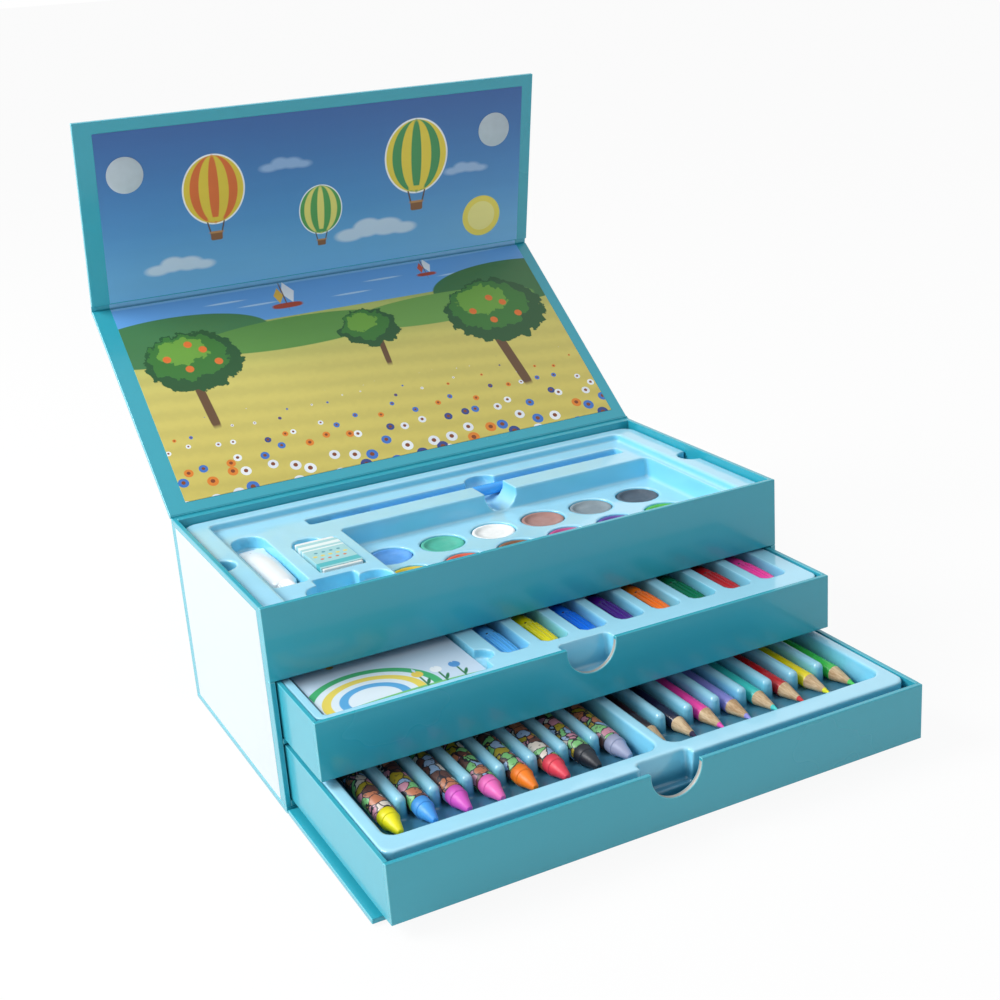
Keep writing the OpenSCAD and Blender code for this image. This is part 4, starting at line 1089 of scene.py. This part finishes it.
marks += [((244, 214, 96), left + 58, front + 94, 13, 13), ((252, 236, 150), left + 58, front + 94, 9, 9)]
marks += [(ink, left + x, front + y, 3.4, 3.4) for ink, places in (
    ((120, 190, 226), ((14, 58), (62, 46), (46, 82))), ((240, 190, 90), ((30, 66), (18, 44))),
    ((120, 196, 130), ((38, 52), (32, 96)))) for x, y in places]
cover = printed_card("card_cover", pad_sky, marks, 0.3)
cut_edges, tree, shader, place = material("cut_card_edges")
leaf = noise(tree, mapped(tree, place, (8, 8, 2600)), 1.0, 2.0)
tone = ramped(tree, leaf, [(0.35, (196, 204, 210)), (0.65, (244, 246, 248))])
dress(tree, shader, tone, 0.8, leaf, 0.08 * mm)
pad = softened_copy("card_pad_printed", "card_pad", 0.15 * mm, [cover, cut_edges])
for face in pad.data.polygons:
    face.material_index = 0 if face.center.z > high.z - 0.3 * mm else 1
stands_for(pad, "card_pad")

# ---- Felt pens ----
# Eight pens of hard glossy plastic: a domed cap with long ribs and a plain collar with two vents, each a
# near-black disc of painted shade for its hole, on a white barrel with a plug of the same colour in its end, and a
# fibre nib inside the cap.
PENS = [(90, 176, 242), (228, 216, 0), (20, 108, 228), (76, 20, 132), (252, 120, 18), (8, 112, 70),
        (192, 24, 30), (246, 66, 164)]
pen_cap_l, pen_rib_l, pen_rib_r, pen_ribs = 38, 25, 0.62, 14
nib_from, nib_r = 18, 1.5
vent_r, vent_aside, vent_at = 0.6, 1.8, 26.5
VENT = [(0, 0.03), (vent_r - 0.1, 0.03), (vent_r, 0), (vent_r, -0.3), (0, -0.3)]
rib_tree, given, end = growth_tree("cap_ribs", [
    ("Ribs", "NodeSocketInt"), ("Core Radius", "NodeSocketFloat"), ("Length", "NodeSocketFloat"),
    ("Rib Radius", "NodeSocketFloat"), ("Finish", "NodeSocketMaterial")])
shoulder = maths(rib_tree, "MULTIPLY", given["Core Radius"], 0.5)
nose = add(rib_tree, "ShaderNodeCombineXYZ", {0: shoulder, 2: 0.75 * mm})
corner = add(rib_tree, "ShaderNodeCombineXYZ", {0: given["Core Radius"], 2: 0.75 * mm})
rise = add(rib_tree, "ShaderNodeCombineXYZ", {0: given["Core Radius"], 2: 4.5 * mm})
last = add(rib_tree, "ShaderNodeCombineXYZ", {0: given["Core Radius"], 2: given["Length"]})
path = add(rib_tree, "GeometryNodeCurvePrimitiveBezierSegment", {
    "Resolution": 18, "Start": nose.outputs[0], "Start Handle": corner.outputs[0],
    "End Handle": rise.outputs[0], "End": last.outputs[0]})
wire_shape = add(rib_tree, "GeometryNodeCurvePrimitiveCircle", {
    "Resolution": 8, "Radius": given["Rib Radius"]})
rib = add(rib_tree, "GeometryNodeCurveToMesh", {
    "Curve": path.outputs[0], "Profile Curve": wire_shape.outputs[0], "Fill Caps": True})
spots = add(rib_tree, "GeometryNodePoints", {"Count": given["Ribs"]})
step = maths(rib_tree, "DIVIDE", math.tau, given["Ribs"])
turn = maths(rib_tree, "MULTIPLY", step, add(rib_tree, "GeometryNodeInputIndex").outputs[0])
spin = add(rib_tree, "ShaderNodeCombineXYZ", {"Z": turn})
ribbed = add(rib_tree, "GeometryNodeInstanceOnPoints", {
    "Points": spots.outputs[0], "Instance": rib.outputs[0], "Rotation": spin.outputs[0]})
end_growth(rib_tree, ribbed.outputs[0], given, end)


def lay_down(piece, low, high, turn=0):
    """Lays a piece that was turned about Z along Y, in the middle of a node's box."""
    piece.data.transform(Matrix.Translation(((low.x + high.x) / 2, low.y, (low.z + high.z) / 2))
                         @ Matrix.Rotation(-math.pi / 2, 4, "X") @ Matrix.Rotation(turn, 4, "Z"))


barrel_white = glossy("barrel_white", (244, 246, 248), 0.2, 0.02, 0.3)
fibre_nib = chalky("fibre_nib", (90, 90, 96))
# The vents: near-black discs, painted shade standing for the dark inside of each hole.
vent_hole_shade = glossy("vent_hole_shade", (12, 14, 20), 0.5, 0.05, 0)
for k, ink in enumerate(PENS, 1):
    node = f"marker_{k}"
    low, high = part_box(node)
    radius, long = (high.x - low.x) / 2 / mm, (high.y - low.y) / mm
    core, collar, barrel = radius - 0.75, radius - 0.45, radius - 0.4
    plastic = glossy(f"pen_plastic_{k}", ink, 0.16, 0.05, 0.6)
    dome = [(core * math.sin(a), 0.1 + 3.6 * (1 - math.cos(a)))
            for a in (math.pi / 2 * n / 7 for n in range(1, 8))]
    cap = turned(node + "_cap", [(0, 0.1)] + dome + [
        (core, pen_rib_l), (collar, pen_rib_l + 0.5), (collar, pen_cap_l - 0.2), (collar - 0.2, pen_cap_l),
        (barrel - 0.9, pen_cap_l), (barrel - 0.9, 13), (0, 13)], [plastic])
    ribs = grown(node + "_ribs", rib_tree, {
        "Ribs": pen_ribs, "Core Radius": (radius - pen_rib_r) * mm, "Length": pen_rib_l * mm,
        "Rib Radius": pen_rib_r * mm}, plastic)
    for face in ribs.data.polygons:
        face.use_smooth = True
    body = turned(node + "_barrel", [
        (0, 25), (barrel - 1.1, 25), (barrel - 1.1, pen_cap_l + 0.2), (barrel - 0.2, pen_cap_l + 0.2),
        (barrel, pen_cap_l + 0.5), (barrel, long - 5.2), (barrel - 0.3, long - 5, 1),
        (barrel - 0.5, long - 4.8, 1), (barrel - 1.2, long - 0.6, 1), (barrel - 1.8, long, 1), (0, long, 1)],
        [barrel_white, plastic])
    nib = turned(node + "_nib", [(0, nib_from), (0.9, nib_from + 0.3), (nib_r, nib_from + 2),
                                 (nib_r, nib_from + 8), (0, nib_from + 8)], [fibre_nib], around=20)
    vents = []
    for side in (-1, 1):
        angle = math.asin(side * vent_aside / collar)
        vent = turned(f"{node}_vent_{side}", VENT, [vent_hole_shade], around=20)
        spot = (collar * mm * math.sin(angle), -collar * mm * math.cos(angle), vent_at * mm)
        vent.data.transform(Matrix.Translation(spot) @ Matrix.Rotation(angle, 4, "Z")
                            @ Matrix.Rotation(math.pi / 2, 4, "X"))
        vents.append(vent)
    pen = joined([cap, ribs, body, nib] + vents, node + "_pen")
    lay_down(pen, low, high)
    stands_for(pen, node)

# ---- Crayons ----
# Eight moulded wax sticks with a stepped conical tip, each in a wrapped and glued paper sleeve
# with a small print of many coloured patches. The print here is plain mosaic confetti.
CRAYONS = [(250, 238, 12), (72, 164, 244), (226, 92, 202), (246, 112, 192), (255, 132, 22), (236, 66, 88),
           (24, 32, 42), (162, 168, 198)]
wax_r, sleeve_r = 4.35, 4.7
sleeve_from, soft = 15, 0.25
WAX_TIP = [(0, 0), (1.05, 0.08), (1.4, 0.4), (1.5, 0.9), (1.85, 1.25), (3.72, 9.2), (3.82, 9.75),
           (3.86, 10), (wax_r - soft, 10.05), (wax_r, 10.35)]
sleeve_print, tree, shader, place = material("sleeve_print")
warp = add(tree, "ShaderNodeTexNoise", {"Vector": place, "Scale": 220.0})
bent = vectors(tree, "MULTIPLY_ADD", warp.outputs["Color"], (0.004, 0.004, 0.004), place)
patch = add(tree, "ShaderNodeTexVoronoi", {"Vector": bent, "Scale": 190.0})
border = add(tree, "ShaderNodeTexVoronoi", {"Vector": bent, "Scale": 190.0}, feature="DISTANCE_TO_EDGE")
inner = add(tree, "ShaderNodeTexVoronoi", {"Vector": bent, "Scale": 430.0})
pick = add(tree, "ShaderNodeSeparateColor", {0: patch.outputs["Color"]})
inks = ramped(tree, pick.outputs[0], [
    (0, (104, 66, 58)), (0.14, (126, 196, 120)), (0.3, (228, 214, 202)), (0.42, (176, 158, 42)),
    (0.56, (206, 140, 160)), (0.68, (150, 180, 214)), (0.8, (196, 120, 84)), (1, (236, 238, 240))],
    "CONSTANT")
spots = maths(tree, "LESS_THAN", inner.outputs["Distance"], 0.26)
spotted = laid_over(tree, maths(tree, "MULTIPLY", spots, 0.55), inks, linear(60, 40, 44))
lines = maths(tree, "LESS_THAN", border.outputs["Distance"], 0.055)
outlined = laid_over(tree, lines, spotted, linear(40, 34, 44))
papered(tree, shader, place, outlined, 0.05, 0.4, 0.03 * mm)


def waxy(name, ink):
    """Wax, cloudy under a scuffed skin that lets a little light in."""
    made, tree, shader, place = material(name)
    scuff = noise(tree, place, 900.0, 3.0)
    shade = brightened(tree, linear(*ink), ranged(tree, noise(tree, place, 260.0, 4.0), 0.93, 1.07))
    dress(tree, shader, shade, ranged(tree, scuff, 0.34, 0.58), scuff, 0.05 * mm, Subsurface_Weight=0.12,
          Subsurface_Radius=(1.0, 0.8, 0.7), Subsurface_Scale=1.2 * mm)
    return made


for k, ink in enumerate(CRAYONS, 1):
    node = f"crayon_{k}"
    low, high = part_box(node)
    long = (high.y - low.y) / mm
    crayon = turned(node + "_wax", WAX_TIP + [
        (wax_r, sleeve_from, 1), (sleeve_r - 0.08, sleeve_from, 1), (sleeve_r, sleeve_from + 0.1, 1),
        (sleeve_r, long - 2.1, 1), (sleeve_r - 0.08, long - 2, 1), (wax_r, long - 2), (wax_r, long - soft),
        (wax_r - soft, long), (0, long)], [waxy(f"wax_{k}", ink), sleeve_print], around=56)
    lay_down(crayon, low, high, k * 1.7)
    stands_for(crayon, node)

# ---- Pencils ----
# Eight half-length round pencils: lacquered wood, machine sharpened to a clean cone of bare wood,
# with a coloured lead through the middle.
PENCILS = [(48, 22, 26), (32, 24, 56), (250, 66, 168), (142, 138, 214), (62, 204, 196), (202, 22, 26),
           (250, 226, 0), (60, 196, 70)]
bare_wood, tree, shader, place = material("bare_wood")
length_wise = mapped(tree, place, (1, 0.07, 1))
grain = noise(tree, length_wise, 1500.0, 4.0)
both = maths(tree, "ADD", grain, noise(tree, length_wise, 340.0, 2.0))
tone = ramped(tree, maths(tree, "MULTIPLY", both, 0.5), [(0.38, (188, 148, 106)), (0.6, (228, 200, 160))])
dress(tree, shader, tone, 0.68, grain, 0.06 * mm)

for k, ink in enumerate(PENCILS, 1):
    node = f"pencil_{k}"
    low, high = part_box(node)
    radius, long = (high.x - low.x) / 2 / mm, (high.y - low.y) / mm
    lead = chalky(f"lead_{k}", [min(255, c + 22) for c in ink])
    lacquer = glossy(f"pencil_lacquer_{k}", ink, 0.2, 0.05, 0.5)
    pencil = turned(node + "_sharpened", [
        (0, 0), (0.25, 0.05), (0.42, 0.35), (1.28, 4, 1), (1.42, 4.1, 1), (radius - 0.2, 14.7, 1),
        (radius - 0.08, 15, 2), (radius, 15.2, 2), (radius, long - 0.5, 2), (radius - 0.15, long - 0.12, 2),
        (radius - 0.4, long, 1), (1.25, long), (0, long)], [lead, bare_wood, lacquer], around=56)
    lay_down(pencil, low, high)
    stands_for(pencil, node)
